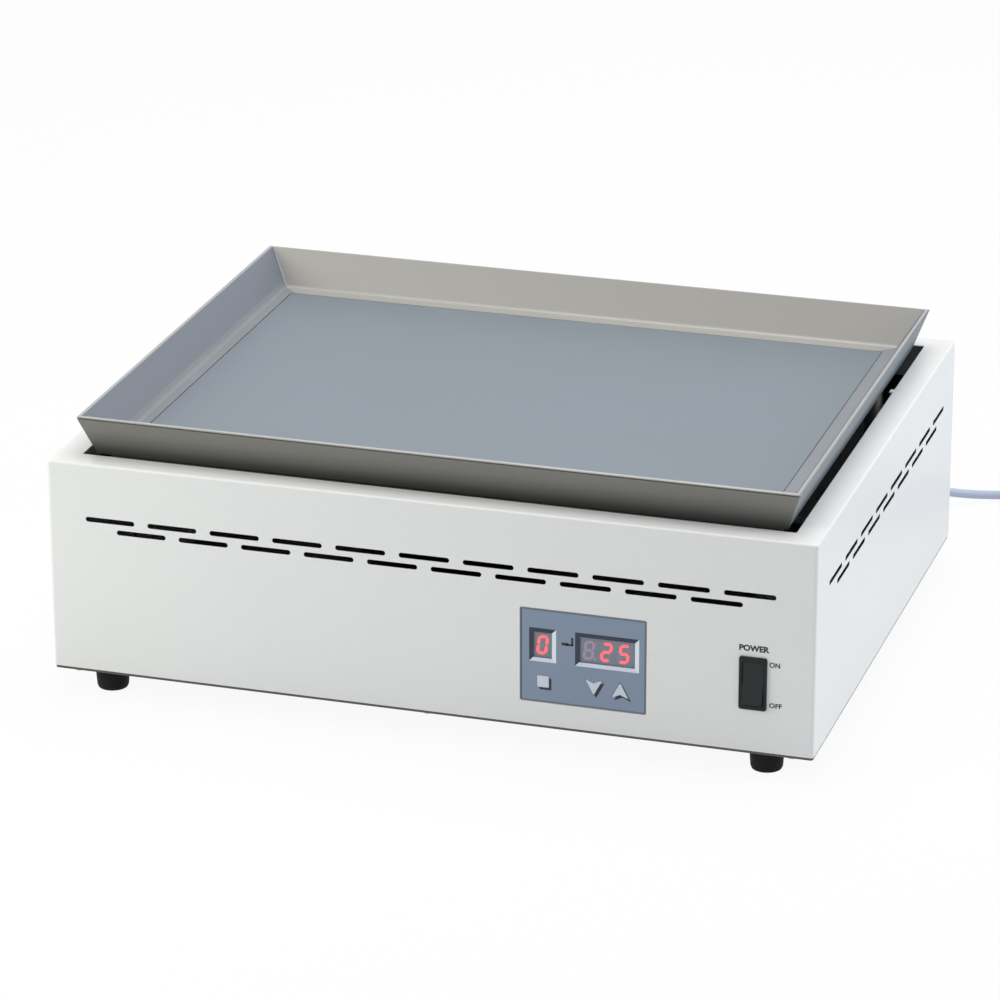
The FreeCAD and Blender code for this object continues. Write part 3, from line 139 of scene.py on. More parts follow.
@dataclass(frozen=True)
class Finish:
    """One surface finish, built from shader nodes on Object coordinates.

    The texture varies the colour and the roughness a little and drives a bump.
    Scales are in features per metre and depths in metres.
    """

    name: str
    colour: Colour
    roughness: float
    texture: Texture = Texture.MOULDED
    metallic: float = 0.0
    specular: float = 0.5
    coat: float = 0.0
    sheen: float = 0.0
    glow: Colour = (0.0, 0.0, 0.0)
    glow_strength: float = 0.0
    scale: float = 900.0
    depth: float = 0.00002
    tone: float = 0.04
    wander: float = 0.05
    fades: tuple[Fade, ...] = ()
    slow_scale: float = 14.0
    slow_detail: float = 3.0

    def stretch(self) -> Point:
        """Returns the texture's scale along X, Y and Z."""
        if self.texture is Texture.ROLLED:
            return (self.scale * 0.03, self.scale, self.scale)
        return (self.scale, self.scale, self.scale)

    def build(self) -> bpy.types.Material:
        """Builds the material.

        Returns:
            The finished node material.
        """
        material = bpy.data.materials.new(self.name)
        material.use_nodes = True
        tree = material.node_tree
        shader = tree.nodes["Principled BSDF"]
        shader.inputs["Metallic"].default_value = self.metallic
        shader.inputs["Specular IOR Level"].default_value = self.specular
        shader.inputs["Coat Weight"].default_value = self.coat
        shader.inputs["Sheen Weight"].default_value = self.sheen
        shader.inputs["Emission Color"].default_value = (*self.glow, 1.0)
        shader.inputs["Emission Strength"].default_value = self.glow_strength
        place = tree.nodes.new("ShaderNodeTexCoord")
        mapping = tree.nodes.new("ShaderNodeMapping")
        mapping.inputs["Scale"].default_value = self.stretch()
        tree.links.new(place.outputs["Object"], mapping.inputs["Vector"])
        fine = self.grain(tree, mapping)
        broad = tree.nodes.new("ShaderNodeTexNoise")
        broad.inputs["Scale"].default_value = self.slow_scale
        broad.inputs["Detail"].default_value = self.slow_detail
        tree.links.new(place.outputs["Object"], broad.inputs["Vector"])
        self.tint(tree, shader, fine, broad)
        self.polish(tree, shader, fine, broad)
        bump = tree.nodes.new("ShaderNodeBump")
        bump.inputs["Strength"].default_value = 1.0
        bump.inputs["Distance"].default_value = self.depth
        tree.links.new(fine, bump.inputs["Height"])
        tree.links.new(bump.outputs["Normal"], shader.inputs["Normal"])
        return material

    def grain(
        self, tree: bpy.types.NodeTree, mapping: bpy.types.Node
    ) -> bpy.types.NodeSocket:
        """Adds the fine texture.

        Args:
            tree: The material's node tree.
            mapping: The node that scales the coordinates.

        Returns:
            The texture's height, from 0 to 1.
        """
        if self.texture is Texture.POWDER:
            cells = tree.nodes.new("ShaderNodeTexVoronoi")
            cells.feature = "SMOOTH_F1"
            cells.inputs["Scale"].default_value = 1.0
            cells.inputs["Smoothness"].default_value = 1.0
            tree.links.new(mapping.outputs["Vector"], cells.inputs["Vector"])
            return cells.outputs["Distance"]
        noise = tree.nodes.new("ShaderNodeTexNoise")
        noise.inputs["Scale"].default_value = 1.0
        noise.inputs["Detail"].default_value = 4.0
        noise.inputs["Roughness"].default_value = 0.6
        if self.texture is Texture.FIBRE:
            noise.inputs["Distortion"].default_value = 1.5
        tree.links.new(mapping.outputs["Vector"], noise.inputs["Vector"])
        return noise.outputs["Fac"]

    def tint(
        self,
        tree: bpy.types.NodeTree,
        shader: bpy.types.Node,
        fine: bpy.types.NodeSocket,
        broad: bpy.types.Node,
    ) -> None:
        """Varies the base colour between a slightly darker and a slightly lighter tone.

        Args:
            tree: The material's node tree.
            shader: The surface shader.
            fine: The fine texture's height.
            broad: The slow noise over the whole piece.
        """
        blend = tree.nodes.new("ShaderNodeMath")
        blend.operation = "ADD"
        tree.links.new(fine, blend.inputs[0])
        tree.links.new(broad.outputs["Fac"], blend.inputs[1])
        ramp = tree.nodes.new("ShaderNodeMapRange")
        ramp.inputs["From Min"].default_value = 0.6
        ramp.inputs["From Max"].default_value = 1.4
        tree.links.new(blend.outputs["Value"], ramp.inputs["Value"])
        mix = tree.nodes.new("ShaderNodeMix")
        mix.data_type = "RGBA"
        dark = [c * (1.0 - self.tone) for c in self.colour]
        light = [min(1.0, c * (1.0 + self.tone)) for c in self.colour]
        mix.inputs["A"].default_value = (*dark, 1.0)
        mix.inputs["B"].default_value = (*light, 1.0)
        tree.links.new(ramp.outputs["Result"], mix.inputs["Factor"])
        colour = mix.outputs["Result"]
        for fade in self.fades:
            colour = self.faded(tree, colour, fade)
        tree.links.new(colour, shader.inputs["Base Color"])

    def faded(
        self, tree: bpy.types.NodeTree, colour: bpy.types.NodeSocket, fade: Fade
    ) -> bpy.types.NodeSocket:
        """Adds one change of tone along a direction.

        Args:
            tree: The material's node tree.
            colour: The colour so far.
            fade: The tone, its direction and where it starts and ends.

        Returns:
            The colour with the tone mixed in.
        """
        place = tree.nodes.new("ShaderNodeTexCoord")
        split = tree.nodes.new("ShaderNodeSeparateXYZ")
        tree.links.new(place.outputs["Object"], split.inputs["Vector"])
        joined = tree.nodes.new("ShaderNodeCombineXYZ")
        for axis, folded in (("X", True), ("Y", fade.both_ways), ("Z", False)):
            distance = split.outputs[axis]
            if folded:
                unsigned = tree.nodes.new("ShaderNodeMath")
                unsigned.operation = "ABSOLUTE"
                tree.links.new(distance, unsigned.inputs[0])
                distance = unsigned.outputs["Value"]
            tree.links.new(distance, joined.inputs[axis])
        reach = tree.nodes.new("ShaderNodeVectorMath")
        reach.operation = "DOT_PRODUCT"
        reach.inputs[1].default_value = fade.along
        tree.links.new(joined.outputs["Vector"], reach.inputs[0])
        share = tree.nodes.new("ShaderNodeMapRange")
        share.inputs["From Min"].default_value = fade.start
        share.inputs["From Max"].default_value = fade.end
        tree.links.new(reach.outputs["Value"], share.inputs["Value"])
        amount = share.outputs["Result"]
        if fade.within is not None:
            amount = self.kept_within(tree, joined.outputs["Vector"], amount, fade.within)
        mix = tree.nodes.new("ShaderNodeMix")
        mix.data_type = "RGBA"
        mix.inputs["B"].default_value = (*fade.colour, 1.0)
        tree.links.new(amount, mix.inputs["Factor"])
        tree.links.new(colour, mix.inputs["A"])
        return mix.outputs["Result"]

    def kept_within(
        self,
        tree: bpy.types.NodeTree,
        distances: bpy.types.NodeSocket,
        amount: bpy.types.NodeSocket,
        corners: tuple[Point, Point],
    ) -> bpy.types.NodeSocket:
        """Makes an amount nothing outside a box.

        Args:
            tree: The material's node tree.
            distances: The place that is tested.
            amount: The amount inside the box.
            corners: The box's low and high corners.

        Returns:
            The amount, or 0 outside the box.
        """
        split = tree.nodes.new("ShaderNodeSeparateXYZ")
        tree.links.new(distances, split.inputs["Vector"])
        for k, axis in enumerate("XYZ"):
            for corner, test in zip(corners, ("GREATER_THAN", "LESS_THAN")):
                side = tree.nodes.new("ShaderNodeMath")
                side.operation = test
                side.inputs[1].default_value = corner[k]
                tree.links.new(split.outputs[axis], side.inputs[0])
                product = tree.nodes.new("ShaderNodeMath")
                product.operation = "MULTIPLY"
                tree.links.new(amount, product.inputs[0])
                tree.links.new(side.outputs["Value"], product.inputs[1])
                amount = product.outputs["Value"]
        return amount

    def polish(
        self,
        tree: bpy.types.NodeTree,
        shader: bpy.types.Node,
        fine: bpy.types.NodeSocket,
        broad: bpy.types.Node,
    ) -> None:
        """Varies the roughness.

        Args:
            tree: The material's node tree.
            shader: The surface shader.
            fine: The fine texture's height.
            broad: The slow noise over the whole piece.
        """
        mean = tree.nodes.new("ShaderNodeMath")
        mean.operation = "MULTIPLY"
        tree.links.new(fine, mean.inputs[0])
        tree.links.new(broad.outputs["Fac"], mean.inputs[1])
        ramp = tree.nodes.new("ShaderNodeMapRange")
        ramp.inputs["From Min"].default_value = 0.1
        ramp.inputs["From Max"].default_value = 0.4
        ramp.inputs["To Min"].default_value = max(0.05, self.roughness - self.wander)
        ramp.inputs["To Max"].default_value = min(1.0, self.roughness + self.wander)
        tree.links.new(mean.outputs["Value"], ramp.inputs["Value"])
        tree.links.new(ramp.outputs["Result"], shader.inputs["Roughness"])


ENAMEL = Finish(
    "Off-white powder coat",
    (0.757, 0.79, 0.81),
    0.38,
    Texture.POWDER,
    scale=700.0,
    depth=0.00001,
    tone=0.012,
    fades=(
        # Painted shade on the cut edges of the side slots.
        Fade(
            SLOT_EDGE_PAINTED_SHADE,
            CASING_HALF_X - 0.00005,
            CASING_HALF_X - 0.0003,
            ALONG_X,
            within=(
                (CASING_HALF_X - 0.0015, -FAR, SLOTS_LOW),
                (CASING_HALF_X - 0.0001, CASING_HALF_Y - 0.01, SLOTS_HIGH),
            ),
        ),
        # Painted shade on the cut edges of the front and back slots.
        Fade(
            SLOT_EDGE_PAINTED_SHADE,
            CASING_HALF_Y - 0.00005,
            CASING_HALF_Y - 0.0003,
            ALONG_Y,
            within=(
                (-FAR, CASING_HALF_Y - 0.0015, SLOTS_LOW),
                (CASING_HALF_X - 0.01, CASING_HALF_Y - 0.0001, SLOTS_HIGH),
            ),
        ),
        # Painted light: the top face and its bends are lighter and warmer than the sides.
        Fade((0.785, 0.802, 0.806), CASING_TOP - 0.0013, CASING_TOP - 0.0001),
    ),
)
TRAY_METAL = Finish(
    "Satin sheet metal",
    (0.238, 0.259, 0.282),
    0.5,
    Texture.ROLLED,
    metallic=0.25,
    scale=500.0,
    depth=0.000006,
    tone=0.085,
    fades=(
        # Painted light: the side skirts' outer faces take a bluer tone than the inner faces of the
        # same sheet.
        Fade((0.232, 0.268, 0.298), WALL_MIDDLE, WALL_MIDDLE + 0.0004, ACROSS_WALL),
        # Painted shade: the side skirts grow darker and bluer towards the back.
        Fade(
            (0.18, 0.208, 0.248),
            0.0,
            0.19,
            ALONG_Y,
            both_ways=False,
            within=((0.2425, 0.0, SKIRT_LOW), (0.2537, BACK_END, RIM_LOW)),
        ),
        # Painted shade: the inner faces of the side walls above the ledge are darker and bluer.
        Fade(
            (0.2, 0.225, 0.264),
            WALL_MIDDLE + 0.0001,
            WALL_MIDDLE - 0.0003,
            ACROSS_WALL,
            within=((0.2375, -FAR, LEDGE_TOP), (FAR, FAR, RIM_LOW)),
        ),
        # Painted light: the back wall, its ledge and its skirt, past the back mitres, are lighter
        # and warmer.
        Fade(
            (0.365, 0.36, 0.345),
            MITRE - MITRE_BLEND,
            MITRE + MITRE_BLEND,
            PAST_BACK_MITRE,
            both_ways=False,
        ),
        # Painted shade: the front wall, its ledge and its skirt, past the front mitres, are
        # darker.
        Fade(
            (0.2, 0.2, 0.188),
            MITRE - MITRE_BLEND,
            MITRE + MITRE_BLEND,
            PAST_FRONT_MITRE,
            both_ways=False,
        ),
        # Painted shade: the skirts grow dark towards their lower edge, next to the gap to the
        # casing.
        Fade((0.1, 0.103, 0.1), 0.0025, 0.0148, DOWN_SKIRT),
        # Painted highlight: the rim's top is lighter.
        Fade((0.42, 0.43, 0.43), RIM_LOW - 0.0002, RIM_LOW + 0.0002),
    ),
)
PLATE_METAL = Finish(
    "Blue-grey heating surface",
    (0.2, 0.239, 0.277),
    0.45,
    Texture.ROLLED,
    metallic=0.4,
    scale=600.0,
    depth=0.000005,
    tone=0.03,
)
# Zinc sheet, darkened well below bare zinc with painted shade so that the base's edge under the
# casing shows as a dark line.
BASE_ZINC_SHADED = Finish(
    "Zinc sheet darkened with painted shade", (0.10, 0.095, 0.09), 0.5, Texture.ROLLED, metallic=0.6, scale=400.0
)
FOOT_RUBBER = Finish(
    "Black foot rubber", (0.006, 0.009, 0.008), 0.65, scale=1500.0, tone=0.15, specular=0.15
)
PANEL_PLASTIC = Finish(
    "Blue-grey panel plastic", (0.21, 0.275, 0.39), 0.45, scale=1800.0, tone=0.03
)
MODULE_FACE = Finish(
    "Grey display face", (0.19, 0.22, 0.28), 0.35, scale=1500.0, tone=0.03
)
LIT_SEGMENT = Finish(
    "Lit red segment",
    (0.6, 0.1, 0.12),
    0.4,
    glow=(1.0, 0.13, 0.15),
    glow_strength=0.68,
    scale=2500.0,
)
DARK_SEGMENT = Finish(
    "Unlit segment", (0.21, 0.235, 0.30), 0.4, scale=2500.0, tone=0.05
)
BLANK_SEGMENT = Finish(
    "Unlit digit", (0.36, 0.29, 0.44), 0.4, scale=2500.0, tone=0.05
)
KEY_PLASTIC = Finish(
    "Pale key plastic", (0.58, 0.66, 0.76), 0.4, scale=1800.0, tone=0.03
)
SWITCH_PLASTIC = Finish(
    "Black switch plastic", (0.009, 0.013, 0.013), 0.42, scale=1500.0, tone=0.1, specular=0.25
)
ROCKER_PLASTIC = Finish(
    "Black rocker plastic", (0.013, 0.018, 0.019), 0.38, scale=1500.0, tone=0.1, specular=0.28
)
# Printed bevels round the windows: painted shade on the top and left strips, painted light on the
# right and bottom ones.
BEVEL_SHADE = Finish(
    "Shaded window bevel", (0.035, 0.045, 0.07), 0.5, Texture.PRINTED, scale=2500.0, specular=0.3
)
BEVEL_LIGHT = Finish(
    "Light window bevel", (0.74, 0.84, 0.90), 0.45, Texture.PRINTED, scale=2500.0
)
LOWER_BEVEL_LIT = Finish(
    "Lit lower window bevel", (0.64, 0.72, 0.86), 0.45, Texture.PRINTED, scale=2500.0
)
# Painted shade in the gap round the fascia: darker on the left, lighter on the other sides.
BORDER_SHADE = Finish(
    "Shaded panel border", (0.06, 0.075, 0.10), 0.5, Texture.PRINTED, scale=2500.0
)
BORDER_GAP_SHADE = Finish(
    "Painted shade round the panel", (0.13, 0.15, 0.18), 0.5, Texture.PRINTED, scale=2500.0
)
# Painted shadow, printed to the lower right of each key.
KEY_SHADOW_INK = Finish(
    "Painted key shadow", (0.028, 0.036, 0.06), 0.5, Texture.PRINTED, scale=2500.0, specular=0.3
)
LINK_INK = Finish(
    "Blue-black print", (0.03, 0.045, 0.07), 0.5, Texture.PRINTED, scale=2500.0, specular=0.3
)
PRINT_INK = Finish("Dark print", (0.02, 0.02, 0.025), 0.6, Texture.PRINTED, scale=3000.0)
CORD_SHEATH = Finish(
    "Pale blue-grey cord sheath", (0.43, 0.485, 0.63), 0.45, scale=1500.0, tone=0.04
)
SCREW_ZINC = Finish(
    "Zinc-plated screws", (0.5, 0.51, 0.52), 0.35, Texture.ROLLED, metallic=0.9, scale=900.0
)
POST_STEEL = Finish(
    "Turned steel", (0.45, 0.45, 0.45), 0.38, Texture.ROLLED, metallic=0.95, scale=1200.0
)
GLAZED_CERAMIC = Finish(
    "Glazed ceramic", (0.72, 0.69, 0.6), 0.22, scale=600.0, tone=0.05, coat=0.3
)
HEATED_SHEATH = Finish(
    "Heat-tinted sheath",
    (0.23, 0.2, 0.17),
    0.4,
    Texture.ROLLED,
    metallic=0.85,
    scale=300.0,
    tone=0.2,
)
LEAD_SLEEVE = Finish(
    "Braided lead sleeve",
    (0.035, 0.033, 0.03),
    0.85,
    Texture.FIBRE,
    scale=1400.0,
    depth=0.0001,
    tone=0.2,
    specular=0.2,
)
PHENOLIC = Finish("Brown-black phenolic", (0.035, 0.024, 0.018), 0.4, scale=800.0, tone=0.15)
MINERAL_FIBRE = Finish(
    "Pressed mineral fibre",
    (0.62, 0.59, 0.5),
    0.9,
    Texture.FIBRE,
    scale=500.0,
    depth=0.0004,
    tone=0.12,
    sheen=0.2,
)
BOARD_MASK = Finish("Green board", (0.012, 0.09, 0.035), 0.3, scale=700.0, tone=0.15)
RELAY_CASE = Finish("Black relay case", (0.02, 0.02, 0.022), 0.4, scale=1200.0, tone=0.1)
CORE_VARNISH = Finish(
    "Varnished core", (0.05, 0.045, 0.04), 0.35, Texture.ROLLED, metallic=0.4, scale=2000.0
)
CAN_SLEEVE = Finish("Dark blue sleeve", (0.012, 0.02, 0.08), 0.25, scale=900.0)
SINK_METAL = Finish(
    "Bare extrusion", (0.55, 0.56, 0.57), 0.3, Texture.ROLLED, metallic=0.95, scale=700.0
)
TINNED_BRASS = Finish(
    "Tinned brass", (0.62, 0.58, 0.45), 0.25, Texture.ROLLED, metallic=1.0, scale=900.0
)

NODE_FINISHES: dict[Finish, tuple[str, ...]] = {
    ENAMEL: ("casing",),
    TRAY_METAL: ("tray_frame",),
    PLATE_METAL: ("heating_plate",),
    BASE_ZINC_SHADED: ("base_plate", "insulation_pan"),
    FOOT_RUBBER: (
        "foot_front_left",
        "foot_front_right",
        "foot_back_left",
        "foot_back_right",
    ),
    PANEL_PLASTIC: ("control_fascia",),
    MODULE_FACE: ("digit_module_single", "digit_module_triple"),
    KEY_PLASTIC: ("key_mode", "key_down", "key_up"),
    SWITCH_PLASTIC: ("switch_housing", "push_switches"),
    ROCKER_PLASTIC: ("rocker",),
    CORD_SHEATH: ("strain_relief", "mains_cord", "cord_coil", "plug_body"),
    SCREW_ZINC: (
        "base_screws",
        "foot_screws",
        "foot_nuts",
        "post_screws",
        "clamp_screws",
        "cutout_screws",
        "fascia_nuts",
        "display_board_screws",
        "board_screws",
        "relay_screws",
        "terminal_screws",
        "earth_screw",
    ),
    POST_STEEL: (
        "plate_post_front_left",
        "plate_post_front_right",
        "plate_post_back_left",
        "plate_post_back_right",
        "element_clamps",
        "board_standoffs",
    ),
    GLAZED_CERAMIC: ("post_insulators", "element_seals"),
    HEATED_SHEATH: ("heating_element", "temperature_probe"),
    PHENOLIC: ("thermal_cutout", "terminal_block"),
    MINERAL_FIBRE: ("insulation_blanket",),
    BOARD_MASK: ("display_board", "control_board"),
    RELAY_CASE: ("control_relay", "solid_state_relay"),
    CORE_VARNISH: ("transformer",),
    CAN_SLEEVE: ("board_capacitors",),
    SINK_METAL: ("relay_heat_sink",),
    TINNED_BRASS: ("switch_terminals", "plug_pins"),
}

_built: dict[Finish, bpy.types.Material] = {}


def material_for(finish: Finish) -> bpy.types.Material:
    """Returns the material of a finish, built once."""
    if finish not in _built:
        _built[finish] = finish.build()
    return _built[finish]


def clear_selection() -> None:
    """Deselects every object."""
    for chosen in list(bpy.context.selected_objects):
        chosen.select_set(False)
    bpy.context.view_layer.objects.active = None


def choose(piece: bpy.types.Object) -> None:
    """Selects one object alone and makes it active."""
    clear_selection()
    piece.select_set(True)
    bpy.context.view_layer.objects.active = piece


def settle(piece: bpy.types.Object) -> None:
    """Puts an object's place, turn and scale into its mesh."""
    choose(piece)
    bpy.ops.object.transform_apply(location=True, rotation=True, scale=True)


def hand_over(
    piece: bpy.types.Object, name: str, finish: Finish, body: str = HOUSING
) -> bpy.types.Object:
    """Names and dresses a finished piece and lets it ride on its body.

    Args:
        piece: The modelled object.
        name: The piece's name.
        finish: Its surface finish.
        body: The CAD body that carries it.

    Returns:
        The same object.
    """
    piece.name = name
    piece.data.materials.clear()
    piece.data.materials.append(material_for(finish))
    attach(piece, body)
    LOG.info("made %s", name)
    return piece


def bar(size: Point, centre: Point, tip: float = 0.0) -> bpy.types.Object:
    """Models a thin bar that lies in the front plane, with bevelled ends.

    Args:
        size: Its length along X, depth along Y and height along Z.
        centre: The middle of the bar.
        tip: How far each end tapers; half the height gives a pointed end.

    Returns:
        The bar's object.
    """
    clear_selection()
    bpy.ops.mesh.primitive_cube_add(size=1.0, location=centre)
    piece = bpy.context.active_object
    piece.scale = size
    settle(piece)
    if tip > 0.0:
        bpy.ops.object.mode_set(mode="EDIT")
        bpy.ops.mesh.select_mode(type="EDGE")
        bpy.ops.mesh.select_all(action="DESELECT")
        bpy.ops.object.mode_set(mode="OBJECT")
        for edge in piece.data.edges:
            a, b = (piece.data.vertices[i].co for i in edge.vertices)
            edge.select = abs(a.y - b.y) > size[1] * 0.9
        bpy.ops.object.mode_set(mode="EDIT")
        bpy.ops.mesh.bevel(offset=tip, segments=1)
        bpy.ops.object.mode_set(mode="OBJECT")
    return piece


def merged(pieces: list[bpy.types.Object]) -> bpy.types.Object:
    """Joins several objects into the first and returns it."""
    choose(pieces[0])
    for piece in pieces:
        piece.select_set(True)
    bpy.ops.object.join()
    return bpy.context.active_object


def flat_shape(corners: list[Flat], surface_y: float, depth: float) -> bpy.types.Object:
    """Models a flat shape of any outline that lies on a front surface.

    Args:
        corners: The outline's X and Z, in order.
        surface_y: The surface it lies on.
        depth: How far it stands in front of that surface.

    Returns:
        The shape's object.
    """
    clear_selection()
    bpy.ops.mesh.primitive_circle_add(vertices=len(corners), radius=1.0, fill_type="NGON")
    piece = bpy.context.active_object
    for vertex, (x, z) in zip(piece.data.vertices, corners):
        vertex.co = (x, surface_y, z)
    bpy.ops.object.mode_set(mode="EDIT")
    bpy.ops.mesh.select_all(action="SELECT")
    bpy.ops.mesh.extrude_region_move(TRANSFORM_OT_translate={"value": (0.0, -depth, 0.0)})
    bpy.ops.mesh.select_all(action="SELECT")
    bpy.ops.mesh.normals_make_consistent(inside=False)
    bpy.ops.object.mode_set(mode="OBJECT")
    return piece


def cut_away(piece: bpy.types.Object, cutter: bpy.types.Object) -> None:
    """Cuts one object out of another and deletes the cutter."""
    choose(piece)
    cut = piece.modifiers.new("cut", "BOOLEAN")
    cut.operation = "DIFFERENCE"
    cut.solver = "EXACT"
    cut.object = cutter
    bpy.ops.object.modifier_apply(modifier=cut.name)
    bpy.data.objects.remove(cutter, do_unlink=True)


def eased(value: float, low: float, high: float) -> float:
    """Returns 0 below low and 1 above high, with a smooth step between them."""
    share = min(1.0, max(0.0, (value - low) / (high - low)))
    return share * share * (3.0 - 2.0 * share)


@dataclass
class Softbox:
    """One square soft lamp that looks at a point."""

    name: str
    place: Point
    target: Point
    size: float
    energy: float
    colour: Colour

    def build(self) -> None:
        """Adds the lamp."""
        lamp = bpy.data.lights.new(self.name, "AREA")
        lamp.shape = "SQUARE"
        lamp.size = self.size
        lamp.energy = self.energy
        lamp.color = self.colour
        holder = bpy.data.objects.new(self.name, lamp)
        bpy.context.scene.collection.objects.link(holder)
        holder.location = self.place
        aim = Vector(self.target) - Vector(self.place)
        holder.rotation_euler = aim.to_track_quat("-Z", "Y").to_euler()


@dataclass
class Studio:
    """Camera, pale floor, soft lamps and a white surround.

    The floor is part matt paper, which keeps the shadow, and part plain white.
    """

    camera_place: Point = (0.93149, -3.02578, 1.32937)
    camera_right: Point = (0.954922, 0.296849, -0.002273)
    camera_up: Point = (-0.105921, 0.347863, 0.931543)
    lens: float = 172.262
    floor_size: float = 14.0
    floor_tone: Colour = (0.86, 0.86, 0.86)
    floor_share: float = 0.93
    ambient: float = 0.43
    lamps: list[Softbox] = field(
        default_factory=lambda: [
            Softbox(
                "top_softbox",
                place=(0.1, 0.45, 2.3),
                target=(0.0, 0.0, 0.15),
                size=1.8,
                energy=34.0,
                colour=(1.0, 0.98, 0.96),
            ),
            Softbox(
                "right_softbox",
                place=(2.3, 0.55, 1.0),
                target=(0.2, 0.0, 0.1),
                size=1.4,
                energy=19.0,
                colour=(0.97, 0.98, 1.0),
            ),
            Softbox(
                "left_front_softbox",
                place=(-1.05, -0.85, 0.7),
                target=(-0.2, -0.2, 0.1),
                size=0.6,
                energy=7.8,
                colour=(1.0, 0.96, 0.85),
            ),
        ]
    )

    def build(self) -> None:
        """Adds the camera, the floor, the lamps and the world."""
        self.set_camera()
        self.lay_floor()
        for lamp in self.lamps:
            lamp.build()
        self.light_world()
        bpy.context.scene.view_settings.view_transform = "Standard"

    def set_camera(self) -> None:
        """Places the camera at the photograph's viewing angle."""
        lens = bpy.data.cameras.new("camera")
        lens.lens = self.lens
        lens.sensor_width = 36.0
        lens.clip_start = 0.1
        lens.clip_end = 60.0
        holder = bpy.data.objects.new("camera", lens)
        bpy.context.scene.collection.objects.link(holder)
        right = Vector(self.camera_right).normalized()
        up = Vector(self.camera_up).normalized()
        back = right.cross(up).normalized()
        up = back.cross(right)
        turn = Matrix((right, up, back)).transposed()
        holder.matrix_world = Matrix.Translation(self.camera_place) @ turn.to_4x4()
        bpy.context.scene.camera = holder

    def lay_floor(self) -> None:
        """Lays the pale floor, which shows white and keeps a soft shadow."""
        clear_selection()
        bpy.ops.mesh.primitive_plane_add(size=self.floor_size)
        floor = bpy.context.active_object
        floor.name = "studio_floor"
        material = bpy.data.materials.new("Pale studio floor")
        material.use_nodes = True
        tree = material.node_tree
        tree.nodes.clear()
        out = tree.nodes.new("ShaderNodeOutputMaterial")
        paper = tree.nodes.new("ShaderNodeBsdfDiffuse")
        paper.inputs["Color"].default_value = (*self.floor_tone, 1.0)
        white = tree.nodes.new("ShaderNodeEmission")
        white.inputs["Color"].default_value = (1.0, 1.0, 1.0, 1.0)
        white.inputs["Strength"].default_value = 1.0
        mix = tree.nodes.new("ShaderNodeMixShader")
        seen = self.seen_ray(tree)
        share = tree.nodes.new("ShaderNodeMath")
        share.operation = "MULTIPLY"
        share.inputs[1].default_value = self.floor_share
        tree.links.new(seen, share.inputs[0])
        tree.links.new(share.outputs["Value"], mix.inputs["Fac"])
        tree.links.new(paper.outputs["BSDF"], mix.inputs[1])
        tree.links.new(white.outputs["Emission"], mix.inputs[2])
        tree.links.new(mix.outputs["Shader"], out.inputs["Surface"])
        floor.data.materials.append(material)

    def light_world(self) -> None:
        """Surrounds the scene with white, seen at full strength and lighting more softly."""
        world = bpy.data.worlds.new("white_surround")
        bpy.context.scene.world = world
        world.use_nodes = True
        tree = world.node_tree
        tree.nodes.clear()
        out = tree.nodes.new("ShaderNodeOutputWorld")
        sky = tree.nodes.new("ShaderNodeBackground")
        sky.inputs["Color"].default_value = (1.0, 1.0, 1.0, 1.0)
        seen = self.seen_ray(tree)
        level = tree.nodes.new("ShaderNodeMapRange")
        level.inputs["To Min"].default_value = self.ambient
        level.inputs["To Max"].default_value = 1.0
        tree.links.new(seen, level.inputs["Value"])
        tree.links.new(level.outputs["Result"], sky.inputs["Strength"])
        tree.links.new(sky.outputs["Background"], out.inputs["Surface"])

    def seen_ray(self, tree: bpy.types.NodeTree) -> bpy.types.NodeSocket:
        """Adds the test for camera, glossy and transmission rays.

        Args:
            tree: The node tree to add it to.

        Returns:
            A value that is 1 for those rays and 0 for the others.
        """
        path = tree.nodes.new("ShaderNodeLightPath")
        first = tree.nodes.new("ShaderNodeMath")
        first.operation = "MAXIMUM"
        tree.links.new(path.outputs["Is Camera Ray"], first.inputs[0])
        tree.links.new(path.outputs["Is Glossy Ray"], first.inputs[1])
        second = tree.nodes.new("ShaderNodeMath")
        second.operation = "MAXIMUM"
        tree.links.new(first.outputs["Value"], second.inputs[0])
        tree.links.new(path.outputs["Is Transmission Ray"], second.inputs[1])
        return second.outputs["Value"]


